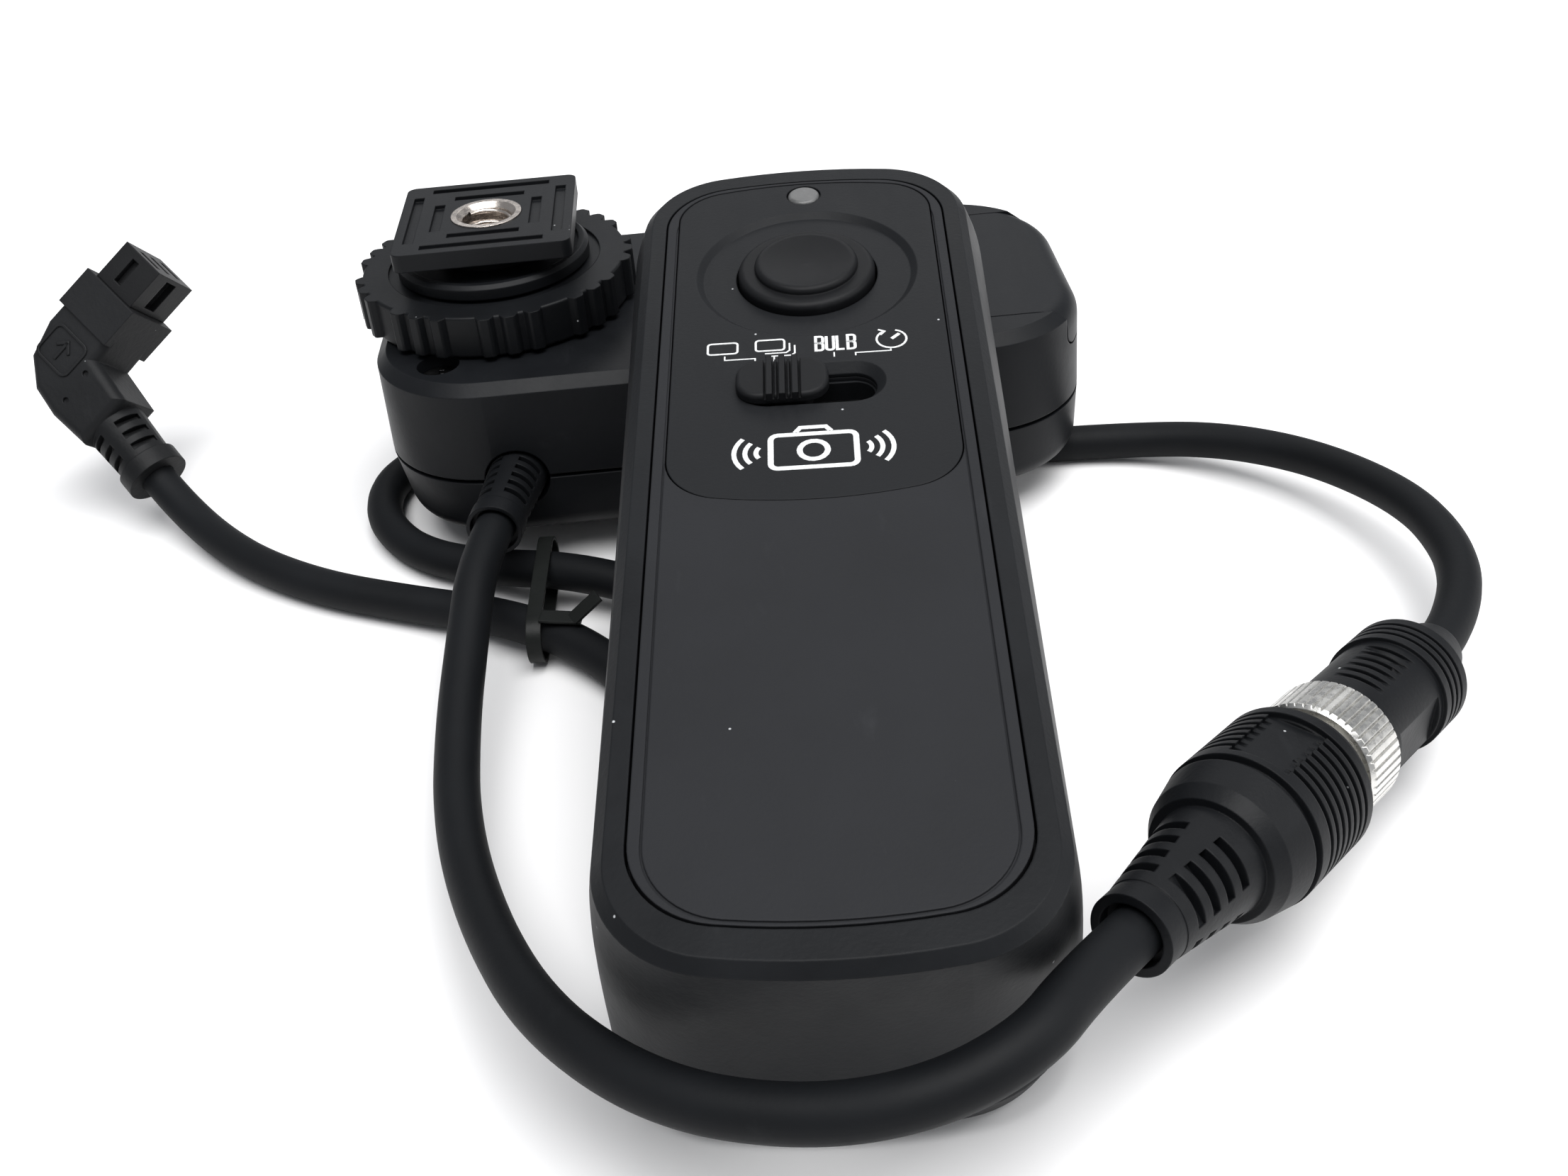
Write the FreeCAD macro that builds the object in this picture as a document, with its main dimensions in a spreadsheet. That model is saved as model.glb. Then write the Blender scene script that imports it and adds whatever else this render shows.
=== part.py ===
"""Radio and cable shutter release: receiver with shoe foot, hand transmitter and joined adapter cord."""
import FreeCAD, Part
import math
import os
import Sketcher

V = FreeCAD.Vector
DOC = FreeCAD.newDocument("ShutterRelease")
DIMS = DOC.addObject("Spreadsheet::Sheet", "dims")

# Driving dimensions in millimetres (angles in degrees).
SIZES = {
    # receiver box, measured from the axis of its shoe foot and from the table
    "rx_left": 13.0, "rx_right": 61.75, "rx_front": 20.4, "rx_back": 16.0,
    "rx_corner": 12.0, "rx_bottom": 4.0, "rx_parting": 10.8, "rx_top": 21.8,
    "rx_gap": 0.45, "rx_wall": 1.8, "rx_chamfer": 1.1, "rx_draft": 1.5,
    "rx_edge_round": 2.2, "rx_room_inset": 2.2, "rx_tray_inset": 2.9,
    # battery door of the receiver
    "rx_door_start": 17.0, "rx_door_front": 15.4, "rx_door_back": 11.0, "rx_door_drop": 4.6,
    "rx_door_fit": 0.2, "rx_door_round": 2.6, "rx_tab_corner": 1.7, "rx_tab_reach": 4.5,
    "rx_screw_x": 5.6, "rx_screw_front": 14.2, "rx_screw_rear": 9.8,
    # shoe foot, locking wheel, pressure disc and threaded insert
    "foot_width": 18.5, "foot_depth": 18.1, "foot_thick": 1.9, "foot_top": 31.8, "foot_corner": 1.0,
    "foot_groove": 0.45, "foot_rail": 1.1, "post_radius": 5.6, "post_flange": 8.5,
    "insert_radius": 3.75, "insert_bore": 2.6, "insert_depth": 7.5,
    "wheel_radius": 14.2, "wheel_rib": 0.7, "wheel_base": 22.1, "wheel_height": 4.5, "wheel_groups": 9,
    "disc_radius": 10.3, "disc_height": 1.5, "post_fit": 0.08,
    # dry cells (AAA)
    "cell_radius": 5.2, "cell_length": 43.0, "cell_nub_radius": 1.9, "cell_nub": 0.9,
    # transmitter, measured from the centre of its button, face at zero
    "tx_half": 15.5, "tx_top": 18.6, "tx_tail": 75.0, "tx_corner": 8.6, "tx_end_arc": 52.0,
    "tx_mid_half": 16.8, "tx_lip_half": 17.0, "tx_bevel": 0.9, "tx_belly": 5.0,
    "tx_depth": 10.25, "tx_wedge": 7.42, "tx_base_thick": 3.4, "tx_seam_gap": 0.4,
    "tx_wall": 2.0, "tx_face_floor": 3.6, "tx_screw_place": 7.7,
    "inlay_half": 13.1, "inlay_top": 15.6, "inlay_tail": 71.7, "inlay_corner": 6.6, "inlay_thick": 1.6,
    "inlay_fit": 0.18, "inlay_line": 0.15,
    "panel_half": 12.0, "panel_top": 15.2, "panel_tail": 31.9, "panel_corner": 5.0,
    "panel_arc": 40.0, "panel_thick": 1.2, "panel_fit": 0.12,
    # button, mode slider, lamp
    "dish_radius": 10.2, "dish_floor_radius": 9.55, "dish_depth": 0.5, "button_radius": 6.3,
    "button_edge": 0.5, "button_ring": 4.75, "button_rise": 1.15, "button_hollow": 4.1, "button_hole_fit": 0.22,
    "slot_centre": 17.0, "slot_half": 6.4, "slot_radius": 2.85, "slot_chamfer": 0.8,
    "knob_half": 3.95, "knob_radius": 2.6,
    "knob_rise": 0.95, "lamp_radius": 1.55, "lamp_place": 13.2,
    "tx_door_half": 11.5, "tx_door_start": 24.0, "tx_door_end": 69.5, "tx_door_fit": 0.2,
    # cords and their reliefs
    "cord_radius": 1.95, "mouth_radius": 2.4, "mouth_depth": 1.0,
    "relief_x": 1.2, "relief_z": 11.0, "relief_seat": 3.35, "relief_length": 10.1,
}

for row, (alias, value) in enumerate(SIZES.items(), start=1):
    DIMS.set("A%d" % row, alias)
    DIMS.set("B%d" % row, repr(value))
    DIMS.setAlias("B%d" % row, alias)
DOC.recompute()

D = SIZES

# Where the sub-assemblies stand.  The origin is under the middle of receiver plus transmitter.
FOOT_X = -23.5
FOOT_Y = 42.73
RECEIVER = FreeCAD.Placement(V(FOOT_X, FOOT_Y, 0), FreeCAD.Rotation())
TX_YAW = -3.9
TX_TILT = 8.7
TX_SPIN = FreeCAD.Rotation(V(0, 0, 1), TX_YAW).multiply(FreeCAD.Rotation(V(1, 0, 0), TX_TILT))
TRANSMITTER = FreeCAD.Placement(V(8.6, 15.23, 34.45), TX_SPIN)
JOINT_BACK = V(23.55, -51.47, 15.45)
JOINT_YAW = 45.2
JOINT_PITCH = 8.7
JOINT_SPIN = FreeCAD.Rotation(V(0, 0, 1), JOINT_YAW).multiply(FreeCAD.Rotation(V(0, 1, 0), JOINT_PITCH))
JOINT = FreeCAD.Placement(JOINT_BACK, JOINT_SPIN)
PLUG_ELBOW = V(-74.2, 49.43, 16.0)
PLUG_TIP_WAY = V(0.7467, 0.3405, 0.5714)
PLUG_FACE = V(-0.16, -0.74, 0.65)
IDENTITY = FreeCAD.Placement()
SUBPARTS = []


# ---------------------------------------------------------------- helpers
def ref(expression):
    """Spreadsheet expression in which every known alias is looked up in the sheet."""
    words = expression.replace("(", " ( ").replace(")", " ) ").split()
    return " ".join("dims." + word if word in SIZES else word for word in words)


def bind(thing, **properties):
    """Bind properties of a document object to spreadsheet expressions."""
    for name, expression in properties.items():
        if isinstance(expression, (int, float)):
            setattr(thing, name, expression)
        else:
            thing.setExpression(name, ref(expression))
    return thing


def keep(thing, label, placement=IDENTITY):
    """Give a finished sub-part its label and placement and put it on the list that is written."""
    thing.Label = label
    thing.Placement = placement
    SUBPARTS.append(thing)
    return thing


def new_body(name):
    """Empty PartDesign body."""
    return DOC.addObject("PartDesign::Body", name + "_body")


def plane_of(body, role):
    """Origin plane of a body: XY_Plane, XZ_Plane or YZ_Plane."""
    for feature in body.Origin.OriginFeatures:
        if feature.Role == role:
            return feature
    raise ValueError(role)


def new_sketch(body, name, height="0", tilt=0.0, role="XY_Plane"):
    """Sketch on an origin plane, raised by an expression and tilted about the plane's X axis."""
    sketch = body.newObject("Sketcher::SketchObject", name)
    sketch.AttachmentSupport = [(plane_of(body, role), "")]
    sketch.MapMode = "FlatFace"
    sketch.AttachmentOffset = FreeCAD.Placement(V(), FreeCAD.Rotation(V(1, 0, 0), tilt))
    sketch.setExpression("AttachmentOffset.Base.z", ref(height))
    return sketch


def name_and_bind(sketch, constraint, name, expression):
    """Add a dimensional constraint, name it and bind it."""
    index = sketch.addConstraint(constraint)
    sketch.renameConstraint(index, name)
    sketch.setExpression("Constraints." + name, ref(expression))


def value_of(expression):
    """Number behind an expression: a sum of signed products of aliases and numbers."""
    total = 0.0
    sign = 1.0
    product = 1.0
    fresh = True
    for word in expression.replace("(", " ").replace(")", " ").split():
        if word in ("+", "-"):
            if not fresh:
                total += sign * product
                sign = 1.0
            sign = sign if word == "+" else -sign
            product = 1.0
            fresh = True
        elif word != "*":
            product *= D[word] if word in D else float(word)
            fresh = False
    return total + sign * product


def circle_sketch(body, name, radius, x="0", y="0", height="0", role="XY_Plane", tilt=0.0):
    """Sketch of one circle."""
    sketch = new_sketch(body, name, height, tilt, role)
    centre = V(value_of(x), value_of(y), 0)
    circle = sketch.addGeometry(Part.Circle(centre, V(0, 0, 1), value_of(radius)), False)
    name_and_bind(sketch, Sketcher.Constraint("Radius", circle, value_of(radius)), "radius", radius)
    for axis, expression, word in (("DistanceX", x, "across"), ("DistanceY", y, "along")):
        if abs(value_of(expression)) > 1e-9:
            rule = Sketcher.Constraint(axis, -1, 1, circle, 3, value_of(expression))
            name_and_bind(sketch, rule, word, expression)
    return sketch


def box_sketch(body, name, left, right, low, high, height="0", role="XY_Plane", tilt=0.0):
    """Sketch of a rectangle whose four sides are given as signed expressions."""
    sketch = new_sketch(body, name, height, tilt, role)
    x0, x1, y0, y1 = (value_of(side) for side in (left, right, low, high))
    corners = [V(x0, y0, 0), V(x1, y0, 0), V(x1, y1, 0), V(x0, y1, 0)]
    for index in range(4):
        sketch.addGeometry(Part.LineSegment(corners[index], corners[(index + 1) % 4]), False)
    for index in range(4):
        sketch.addConstraint(Sketcher.Constraint("Coincident", index, 2, (index + 1) % 4, 1))
    sketch.addConstraint(Sketcher.Constraint("Horizontal", 0))
    sketch.addConstraint(Sketcher.Constraint("Horizontal", 2))
    sketch.addConstraint(Sketcher.Constraint("Vertical", 1))
    sketch.addConstraint(Sketcher.Constraint("Vertical", 3))
    for axis, line, expression, word in (("DistanceX", 3, left, "left"), ("DistanceX", 1, right, "right"),
                                         ("DistanceY", 0, low, "low"), ("DistanceY", 2, high, "high")):
        rule = Sketcher.Constraint(axis, -1, 1, line, 1, value_of(expression))
        name_and_bind(sketch, rule, word, expression)
    return sketch


def add_polygon(sketch, points):
    """Closed ring of straight lines in a sketch."""
    first = sketch.GeometryCount
    count = len(points)
    for index in range(count):
        sketch.addGeometry(Part.LineSegment(points[index], points[(index + 1) % count]), False)
    for index in range(count):
        following = first + (index + 1) % count
        sketch.addConstraint(Sketcher.Constraint("Coincident", first + index, 2, following, 1))


def rounded_sketch(body, name, left, right, low, high, corner, height="0", tilt=0.0, role="XY_Plane"):
    """Rectangle with four equal tangent corner arcs."""
    sketch = new_sketch(body, name, height, tilt, role)
    x0, x1, y0, y1 = (value_of(side) for side in (left, right, low, high))
    r = value_of(corner)
    runs = [(V(x0 + r, y0, 0), V(x1 - r, y0, 0)), (V(x1, y0 + r, 0), V(x1, y1 - r, 0)),
            (V(x1 - r, y1, 0), V(x0 + r, y1, 0)), (V(x0, y1 - r, 0), V(x0, y0 + r, 0))]
    centres = [V(x1 - r, y0 + r, 0), V(x1 - r, y1 - r, 0), V(x0 + r, y1 - r, 0), V(x0 + r, y0 + r, 0)]
    for side in range(4):
        sketch.addGeometry(Part.LineSegment(*runs[side]), False)
        start = math.radians(-90 + 90 * side)
        ring = Part.Circle(centres[side], V(0, 0, 1), r)
        sketch.addGeometry(Part.ArcOfCircle(ring, start, start + math.pi / 2), False)
    for side in range(4):
        line, arc, following = 2 * side, 2 * side + 1, (2 * side + 2) % 8
        sketch.addConstraint(Sketcher.Constraint("Tangent", line, 2, arc, 1))
        sketch.addConstraint(Sketcher.Constraint("Tangent", arc, 2, following, 1))
    for line, rule in ((0, "Horizontal"), (2, "Vertical"), (4, "Horizontal"), (6, "Vertical")):
        sketch.addConstraint(Sketcher.Constraint(rule, line))
    for arc in (3, 5):
        sketch.addConstraint(Sketcher.Constraint("Equal", 1, arc))
    name_and_bind(sketch, Sketcher.Constraint("Radius", 1, r), "corner", corner)
    for axis, line, expression, word in (("DistanceX", 6, left, "left"), ("DistanceX", 2, right, "right"),
                                         ("DistanceY", 0, low, "low"), ("DistanceY", 4, high, "high")):
        rule = Sketcher.Constraint(axis, -1, 1, line, 1, value_of(expression))
        name_and_bind(sketch, rule, word, expression)
    return sketch


def capsule_sketch(body, name, half, top, tail, corner, end_arc, height="0", tilt=0.0):
    """Long outline: straight sides, corner arcs and bowed ends, all tangent.

    half is the half width, top and tail the distances of the two bowed ends from the origin.
    """
    sketch = new_sketch(body, name, height, tilt)
    w, hi, lo, rc, re = (value_of(item) for item in (half, top, tail, corner, end_arc))
    rise = math.sqrt((re - rc) ** 2 - (w - rc) ** 2)
    lean = math.atan2(rise, w - rc)
    high_c, low_c = hi - re, re - lo
    high_k, low_k = high_c + rise, low_c - rise
    half_turn = math.pi

    def arc(x, y, radius, start, stop):
        return sketch.addGeometry(Part.ArcOfCircle(Part.Circle(V(x, y, 0), V(0, 0, 1), radius), start, stop))

    right = sketch.addGeometry(Part.LineSegment(V(w, low_k, 0), V(w, high_k, 0)))
    arcs = [arc(w - rc, high_k, rc, 0, lean), arc(0, high_c, re, lean, half_turn - lean),
            arc(-w + rc, high_k, rc, half_turn - lean, half_turn)]
    left = sketch.addGeometry(Part.LineSegment(V(-w, high_k, 0), V(-w, low_k, 0)))
    arcs += [arc(-w + rc, low_k, rc, half_turn, half_turn + lean),
             arc(0, low_c, re, half_turn + lean, 2 * half_turn - lean),
             arc(w - rc, low_k, rc, 2 * half_turn - lean, 2 * half_turn)]
    ring = [right] + arcs[:3] + [left] + arcs[3:]
    for index, edge in enumerate(ring):
        sketch.addConstraint(Sketcher.Constraint("Tangent", edge, 2, ring[(index + 1) % 8], 1))
    sketch.addConstraint(Sketcher.Constraint("Vertical", right))
    sketch.addConstraint(Sketcher.Constraint("Vertical", left))
    name_and_bind(sketch, Sketcher.Constraint("DistanceX", -1, 1, right, 1, w), "right", half)
    name_and_bind(sketch, Sketcher.Constraint("DistanceX", left, 1, -1, 1, w), "left", half)
    name_and_bind(sketch, Sketcher.Constraint("Radius", arcs[0], rc), "corner", corner)
    for index in (2, 3, 5):
        sketch.addConstraint(Sketcher.Constraint("Equal", arcs[0], arcs[index]))
    name_and_bind(sketch, Sketcher.Constraint("Radius", arcs[1], re), "bow", end_arc)
    sketch.addConstraint(Sketcher.Constraint("Equal", arcs[1], arcs[4]))
    top_rule = Sketcher.Constraint("DistanceY", arcs[1], 3, -1, 1, re - hi)
    name_and_bind(sketch, top_rule, "head", end_arc + " - ( " + top + " )")
    tail_rule = Sketcher.Constraint("DistanceY", -1, 1, arcs[4], 3, re - lo)
    name_and_bind(sketch, tail_rule, "tail", end_arc + " - ( " + tail + " )")
    return sketch


def pad(body, sketch, length, reverse=False, taper=0.0):
    """Raise a solid from a sketch."""
    feature = body.newObject("PartDesign::Pad", sketch.Name + "_pad")
    feature.Profile = sketch
    feature.Reversed = reverse
    bind(feature, Length=length)
    if taper:
        feature.TaperAngle = taper
    sketch.Visibility = False
    DOC.recompute()
    return feature


def pocket(body, sketch, length=None, reverse=False, taper=0.0):
    """Cut a sketch into the body; without a length it goes through everything."""
    before = body.Shape.Volume
    feature = body.newObject("PartDesign::Pocket", sketch.Name + "_cut")
    feature.Profile = sketch
    feature.Reversed = reverse
    if length is None:
        feature.Type = "ThroughAll"
    else:
        bind(feature, Length=length)
    if taper:
        feature.TaperAngle = taper
    DOC.recompute()
    if not body.Shape.Volume < before - 1e-6:
        raise RuntimeError("pocket cut nothing: " + feature.Name)
    return feature


def loft(body, sketches, cut=False, ruled=False):
    """Solid, or hollow, through a stack of sketches."""
    kind = "PartDesign::SubtractiveLoft" if cut else "PartDesign::AdditiveLoft"
    feature = body.newObject(kind, sketches[0].Name + "_loft")
    feature.Profile = sketches[0]
    feature.Sections = sketches[1:]
    feature.Ruled = ruled
    DOC.recompute()
    return feature


def edges_where(shape, test):
    """Names of the edges of a shape whose midpoint and direction pass a test."""
    names = []
    for index, edge in enumerate(shape.Edges, start=1):
        middle = edge.valueAt(0.5 * (edge.FirstParameter + edge.LastParameter))
        if test(middle, edge):
            names.append("Edge%d" % index)
    return names


def dress(body, kind, size, test):
    """Fillet or chamfer the edges that pass a test."""
    base = body.Tip
    feature = body.newObject("PartDesign::" + kind, body.Name + "_" + kind)
    feature.Base = (base, edges_where(base.Shape, test))
    bind(feature, **{"Radius" if kind == "Fillet" else "Size": size})
    DOC.recompute()
    return feature


def cylinder(name, radius, height, base=V(), way=V(0, 0, 1)):
    """Part cylinder with bound radius and height."""
    item = DOC.addObject("Part::Cylinder", name)
    bind(item, Radius=radius, Height=height)
    item.Placement = FreeCAD.Placement(base, FreeCAD.Rotation(V(0, 0, 1), way))
    return item


def cone(name, radius_low, radius_high, height, base=V(), way=V(0, 0, 1)):
    """Part cone with bound radii and height."""
    item = DOC.addObject("Part::Cone", name)
    bind(item, Radius1=radius_low, Radius2=radius_high, Height=height)
    item.Placement = FreeCAD.Placement(base, FreeCAD.Rotation(V(0, 0, 1), way))
    return item


def box(name, length, width, height, base, spin=FreeCAD.Rotation()):
    """Part box with bound sides."""
    item = DOC.addObject("Part::Box", name)
    bind(item, Length=length, Width=width, Height=height)
    item.Placement = FreeCAD.Placement(base, spin)
    return item


def fuse(name, items):
    """Part fusion."""
    item = DOC.addObject("Part::MultiFuse", name)
    item.Shapes = items
    return item


def cut(name, base, tool):
    """Part difference."""
    item = DOC.addObject("Part::Cut", name)
    item.Base = base
    item.Tool = tool
    return item


def along_x(name, sections, start=0.0):
    """Turned solid along X from (length, radius, end radius) sections."""
    pieces = []
    place = start
    for index, (length, first, last) in enumerate(sections):
        base = V(place, 0, 0)
        label = "%s_%d" % (name, index)
        if abs(first - last) < 1e-9:
            pieces.append(cylinder(label, first, length, base, V(1, 0, 0)))
        else:
            pieces.append(cone(label, first, last, length, base, V(1, 0, 0)))
        place += length
    return fuse(name + "_turned", pieces)


# ---------------------------------------------------------------- receiver
def receiver_outline(body, name, height, inset="0"):
    """Outline of the receiver box at a height, moved inwards by an expression."""
    corner = "rx_corner" if inset == "0" else "rx_corner - " + inset
    move = "" if inset == "0" else " + " + inset
    back = "" if inset == "0" else " - " + inset
    return rounded_sketch(body, name, "- rx_left" + move, "rx_right" + back, "- rx_front" + move,
                          "rx_back" + back, corner, height)


def receiver_form(name, edge, size):
    """Closed outer form of the upper half, with its top edge bevelled or rounded."""
    body = new_body(name)
    pad(body, receiver_outline(body, name + "_plan", "rx_parting + rx_gap"), "rx_top - rx_parting - rx_gap",
        taper=-D["rx_draft"])
    top = D["rx_top"]
    dress(body, edge, size, lambda p, e: abs(p.z - top) < 0.01)
    return body


SCREW_PLACES = (("front", "- rx_screw_front"), ("rear", "rx_screw_rear"))


def receiver_body_shell():
    """Upper half of the box: open below, with the door opening, post hole, screw bosses and cord notch."""
    body = receiver_form("receiver_body_shell", "Chamfer", "rx_chamfer")
    pocket(body, receiver_outline(body, "rx_room", "rx_parting + rx_gap", "rx_room_inset"),
           "rx_top - rx_parting - rx_gap - rx_wall - 0.4", reverse=True)
    opening = box_sketch(body, "rx_opening", "rx_door_start", "rx_right + 2", "- rx_door_front",
                         "rx_door_back", "rx_top")
    pocket(body, opening, "rx_wall + 0.5")
    tab = rounded_sketch(body, "rx_tab_gap", "- rx_door_front", "rx_door_back", "rx_top - rx_door_drop",
                         "rx_top + 3", "rx_tab_corner", "rx_right + 2", role="YZ_Plane")
    pocket(body, tab, "rx_tab_reach + 2")
    pocket(body, circle_sketch(body, "rx_post_hole", "post_radius + 0.05", height="rx_top"), "rx_wall + 1")
    for word, along in SCREW_PLACES:
        boss = circle_sketch(body, "rx_boss_" + word, "2.6", "- rx_screw_x", along, "rx_parting + rx_gap")
        pad(body, boss, "rx_top - rx_parting - rx_gap - rx_wall")
        pocket(body, circle_sketch(body, "rx_screw_" + word, "2.2", "- rx_screw_x", along, "rx_top"), "2.2")
        pocket(body, circle_sketch(body, "rx_screw_pass_" + word, "1.25", "- rx_screw_x", along, "rx_top"), "12")
    notch = circle_sketch(body, "rx_cord_notch", "relief_seat", "relief_x", "relief_z", "rx_front - 5", "XZ_Plane")
    pocket(body, notch, "8", reverse=True)
    return keep(body, "receiver_body_shell", RECEIVER)


def receiver_base_shell():
    """Lower half of the box: a tray that narrows towards its rounded floor, most of all at its left end."""
    body = new_body("receiver_base_shell")
    floor = rounded_sketch(body, "rx_tray_floor", "- rx_left + 1.3", "rx_right - 0.3", "- rx_front + 0.3",
                           "rx_back - 0.8", "rx_corner - 0.6", "rx_bottom")
    loft(body, [receiver_outline(body, "rx_tray", "rx_parting"), floor])
    low = D["rx_bottom"]
    dress(body, "Fillet", "rx_edge_round", lambda p, e: abs(p.z - low) < 0.01)
    pocket(body, receiver_outline(body, "rx_tray_room", "rx_parting", "rx_tray_inset"),
           "rx_parting - rx_bottom - rx_wall")
    for word, along in SCREW_PLACES:
        boss = circle_sketch(body, "rx_pillar_" + word, "2.6", "- rx_screw_x", along, "rx_bottom + 1")
        pad(body, boss, "rx_parting - rx_bottom - 1")
        pilot = circle_sketch(body, "rx_pilot_" + word, "1.06", "- rx_screw_x", along, "rx_parting")
        pocket(body, pilot, "4.4")
    notch = circle_sketch(body, "rx_tray_notch", "relief_seat", "relief_x", "relief_z", "rx_front - 5", "XZ_Plane")
    pocket(body, notch, "8", reverse=True)
    return keep(body, "receiver_base_shell", RECEIVER)


def receiver_battery_door():
    """Flush sliding lid that turns down the right end into a latch tab."""
    body = new_body("receiver_lid_blank")
    lid = box_sketch(body, "rx_lid", "rx_door_start + rx_door_fit", "rx_right + 1",
                     "- rx_door_front + rx_door_fit", "rx_door_back - rx_door_fit", "rx_top - rx_wall - 0.3")
    pad(body, lid, "rx_wall + 0.5")
    tab = rounded_sketch(body, "rx_lid_tab", "- rx_door_front + rx_door_fit", "rx_door_back - rx_door_fit",
                         "rx_top - rx_door_drop + rx_door_fit", "rx_top + 3", "rx_tab_corner - rx_door_fit",
                         "rx_right + 1", role="YZ_Plane")
    pad(body, tab, "rx_tab_reach + 1 - rx_door_fit", reverse=True)
    lid_cut = DOC.addObject("Part::Common", "receiver_lid_trimmed")
    lid_cut.Base = body
    lid_cut.Tool = receiver_form("receiver_lid_form", "Fillet", "rx_door_round")
    return keep(lid_cut, "receiver_battery_door", RECEIVER)


def receiver_battery_tray():
    """Open-topped compartment under the door, sized for two cells side by side."""
    body = new_body("receiver_battery_tray")
    outer = box_sketch(body, "rx_bay", "8.7", "56.8", "- 14.2", "9.8", "rx_top - rx_wall - 0.9")
    pad(body, outer, "12.2", reverse=True)
    inner = box_sketch(body, "rx_bay_room", "9.7", "55.9", "- 13.4", "9.0", "rx_top - rx_wall - 0.9")
    pocket(body, inner, "11.4")
    return keep(body, "receiver_battery_tray", RECEIVER)


def dry_cell(name, placement, centre, way):
    """Cell with a raised contact nub at the far end of its axis."""
    can = cylinder(name + "_can", "cell_radius", "cell_length")
    nub = cylinder(name + "_nub", "cell_nub_radius", "cell_nub", V(0, 0, D["cell_length"]))
    cell = fuse(name + "_cell", [can, nub])
    spin = FreeCAD.Rotation(V(0, 0, 1), way)
    start = centre - way * (0.5 * D["cell_length"])
    return keep(cell, name, placement.multiply(FreeCAD.Placement(start, spin)))


def receiver_power():
    """Two cells and their contact plates."""
    height = D["rx_top"] - D["rx_wall"] - 6.6
    for name, across, way in (("receiver_cell_front", -7.7, 1), ("receiver_cell_rear", 3.3, -1)):
        dry_cell(name, RECEIVER, V(32.8, across, height), V(way, 0, 0))
    plates = [box("rx_plate_left", "0.4", "20", "8", V(9.75, -12.2, height - 4)),
              box("rx_plate_right", "0.4", "20", "8", V(55.45, -12.2, height - 4))]
    return keep(fuse("rx_plates", plates), "receiver_contacts", RECEIVER)


def receiver_board():
    """Circuit board on the floor with its radio chip."""
    low = D["rx_bottom"] + D["rx_wall"] + 0.1
    board = box("rx_board_plate", "44", "22", "0.8", V(11, -13.2, low))
    chip_seat = box("rx_chip_seat", "12", "20", "0.8", V(0, -8.0, low))
    chip = box("rx_chip", "7", "7", "0.8", V(0.8, -4, low + 0.8))
    return keep(fuse("rx_board", [board, chip_seat, chip]), "receiver_board", RECEIVER)


def receiver_aerial():
    """Coiled aerial, as its outer sleeve, standing on the board."""
    low = D["rx_bottom"] + D["rx_wall"] + 0.9
    return keep(fuse("rx_aerial", [cylinder("rx_mast", "1.3", "7.5", V(4, 9.4, low)),
                                   cylinder("rx_mast_tip", "0.5", "2.0", V(4, 9.4, low + 7.5))]),
                "receiver_aerial", RECEIVER)


def receiver_screws():
    """Cross-head screws that clamp the two shells."""
    for word, along in SCREW_PLACES:
        base = V(-D["rx_screw_x"], value_of(along), D["rx_top"] - 2.2)
        head = cylinder("rx_head_" + word, "2.05", "0.9", base)
        shank = cylinder("rx_shank_" + word, "1.05", "11.5", base - V(0, 0, 11.5))
        bar_a = box("rx_bar_a_" + word, "2.6", "0.5", "0.6", base + V(-1.3, -0.25, 0.5))
        bar_b = box("rx_bar_b_" + word, "0.5", "2.6", "0.6", base + V(-0.25, -1.3, 0.5))
        screw = cut("rx_screw_cut_" + word, fuse("rx_screw_body_" + word, [head, shank]),
                    fuse("rx_cross_" + word, [bar_a, bar_b]))
        keep(screw, "receiver_screw_" + word, RECEIVER)


def shoe_foot():
    """Standard foot plate with its grooved face, on a threaded post with a flange inside the box."""
    body = new_body("shoe_foot")
    plate = box_sketch(body, "foot_plate", "- 0.5 * foot_width", "0.5 * foot_width", "- 0.5 * foot_depth",
                       "0.5 * foot_depth", "foot_top - foot_thick")
    pad(body, plate, "foot_thick")
    dress(body, "Fillet", "foot_corner",
          lambda p, e: abs(abs(p.x) - 0.5 * D["foot_width"]) < 0.01
          and abs(abs(p.y) - 0.5 * D["foot_depth"]) < 0.01)
    post = circle_sketch(body, "foot_post", "post_radius", height="foot_top - foot_thick")
    pad(body, post, "foot_top - foot_thick - rx_top + rx_wall + 2.2", reverse=True)
    flange = circle_sketch(body, "foot_flange", "post_flange", height="rx_top - rx_wall - 0.6")
    pad(body, flange, "1.6", reverse=True)
    pocket(body, circle_sketch(body, "foot_insert_seat", "insert_radius", height="foot_top"), "insert_depth")
    for turn in range(4):
        half = 0.5 * (D["foot_width"] if turn % 2 == 0 else D["foot_depth"])
        cross = 0.5 * (D["foot_depth"] if turn % 2 == 0 else D["foot_width"])
        rails = [("long", half - 1.0, cross - 2.9), ("short", half - 3.5, cross - 5.5)]
        for word, x1, y1 in rails:
            x0, y0 = x1 - D["foot_rail"], -y1
            sketch = body.newObject("Sketcher::SketchObject", "foot_%s_%d" % (word, turn))
            sketch.AttachmentSupport = [(plane_of(body, "XY_Plane"), "")]
            sketch.MapMode = "FlatFace"
            spin = FreeCAD.Rotation(V(0, 0, 1), 90 * turn)
            sketch.AttachmentOffset = FreeCAD.Placement(V(), spin)
            sketch.setExpression("AttachmentOffset.Base.z", "dims.foot_top")
            add_polygon(sketch, [V(x0, y0, 0), V(x1, y0, 0), V(x1, y1, 0), V(x0, y1, 0)])
            pocket(body, sketch, "foot_groove")
    return keep(body, "shoe_foot", RECEIVER)


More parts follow.
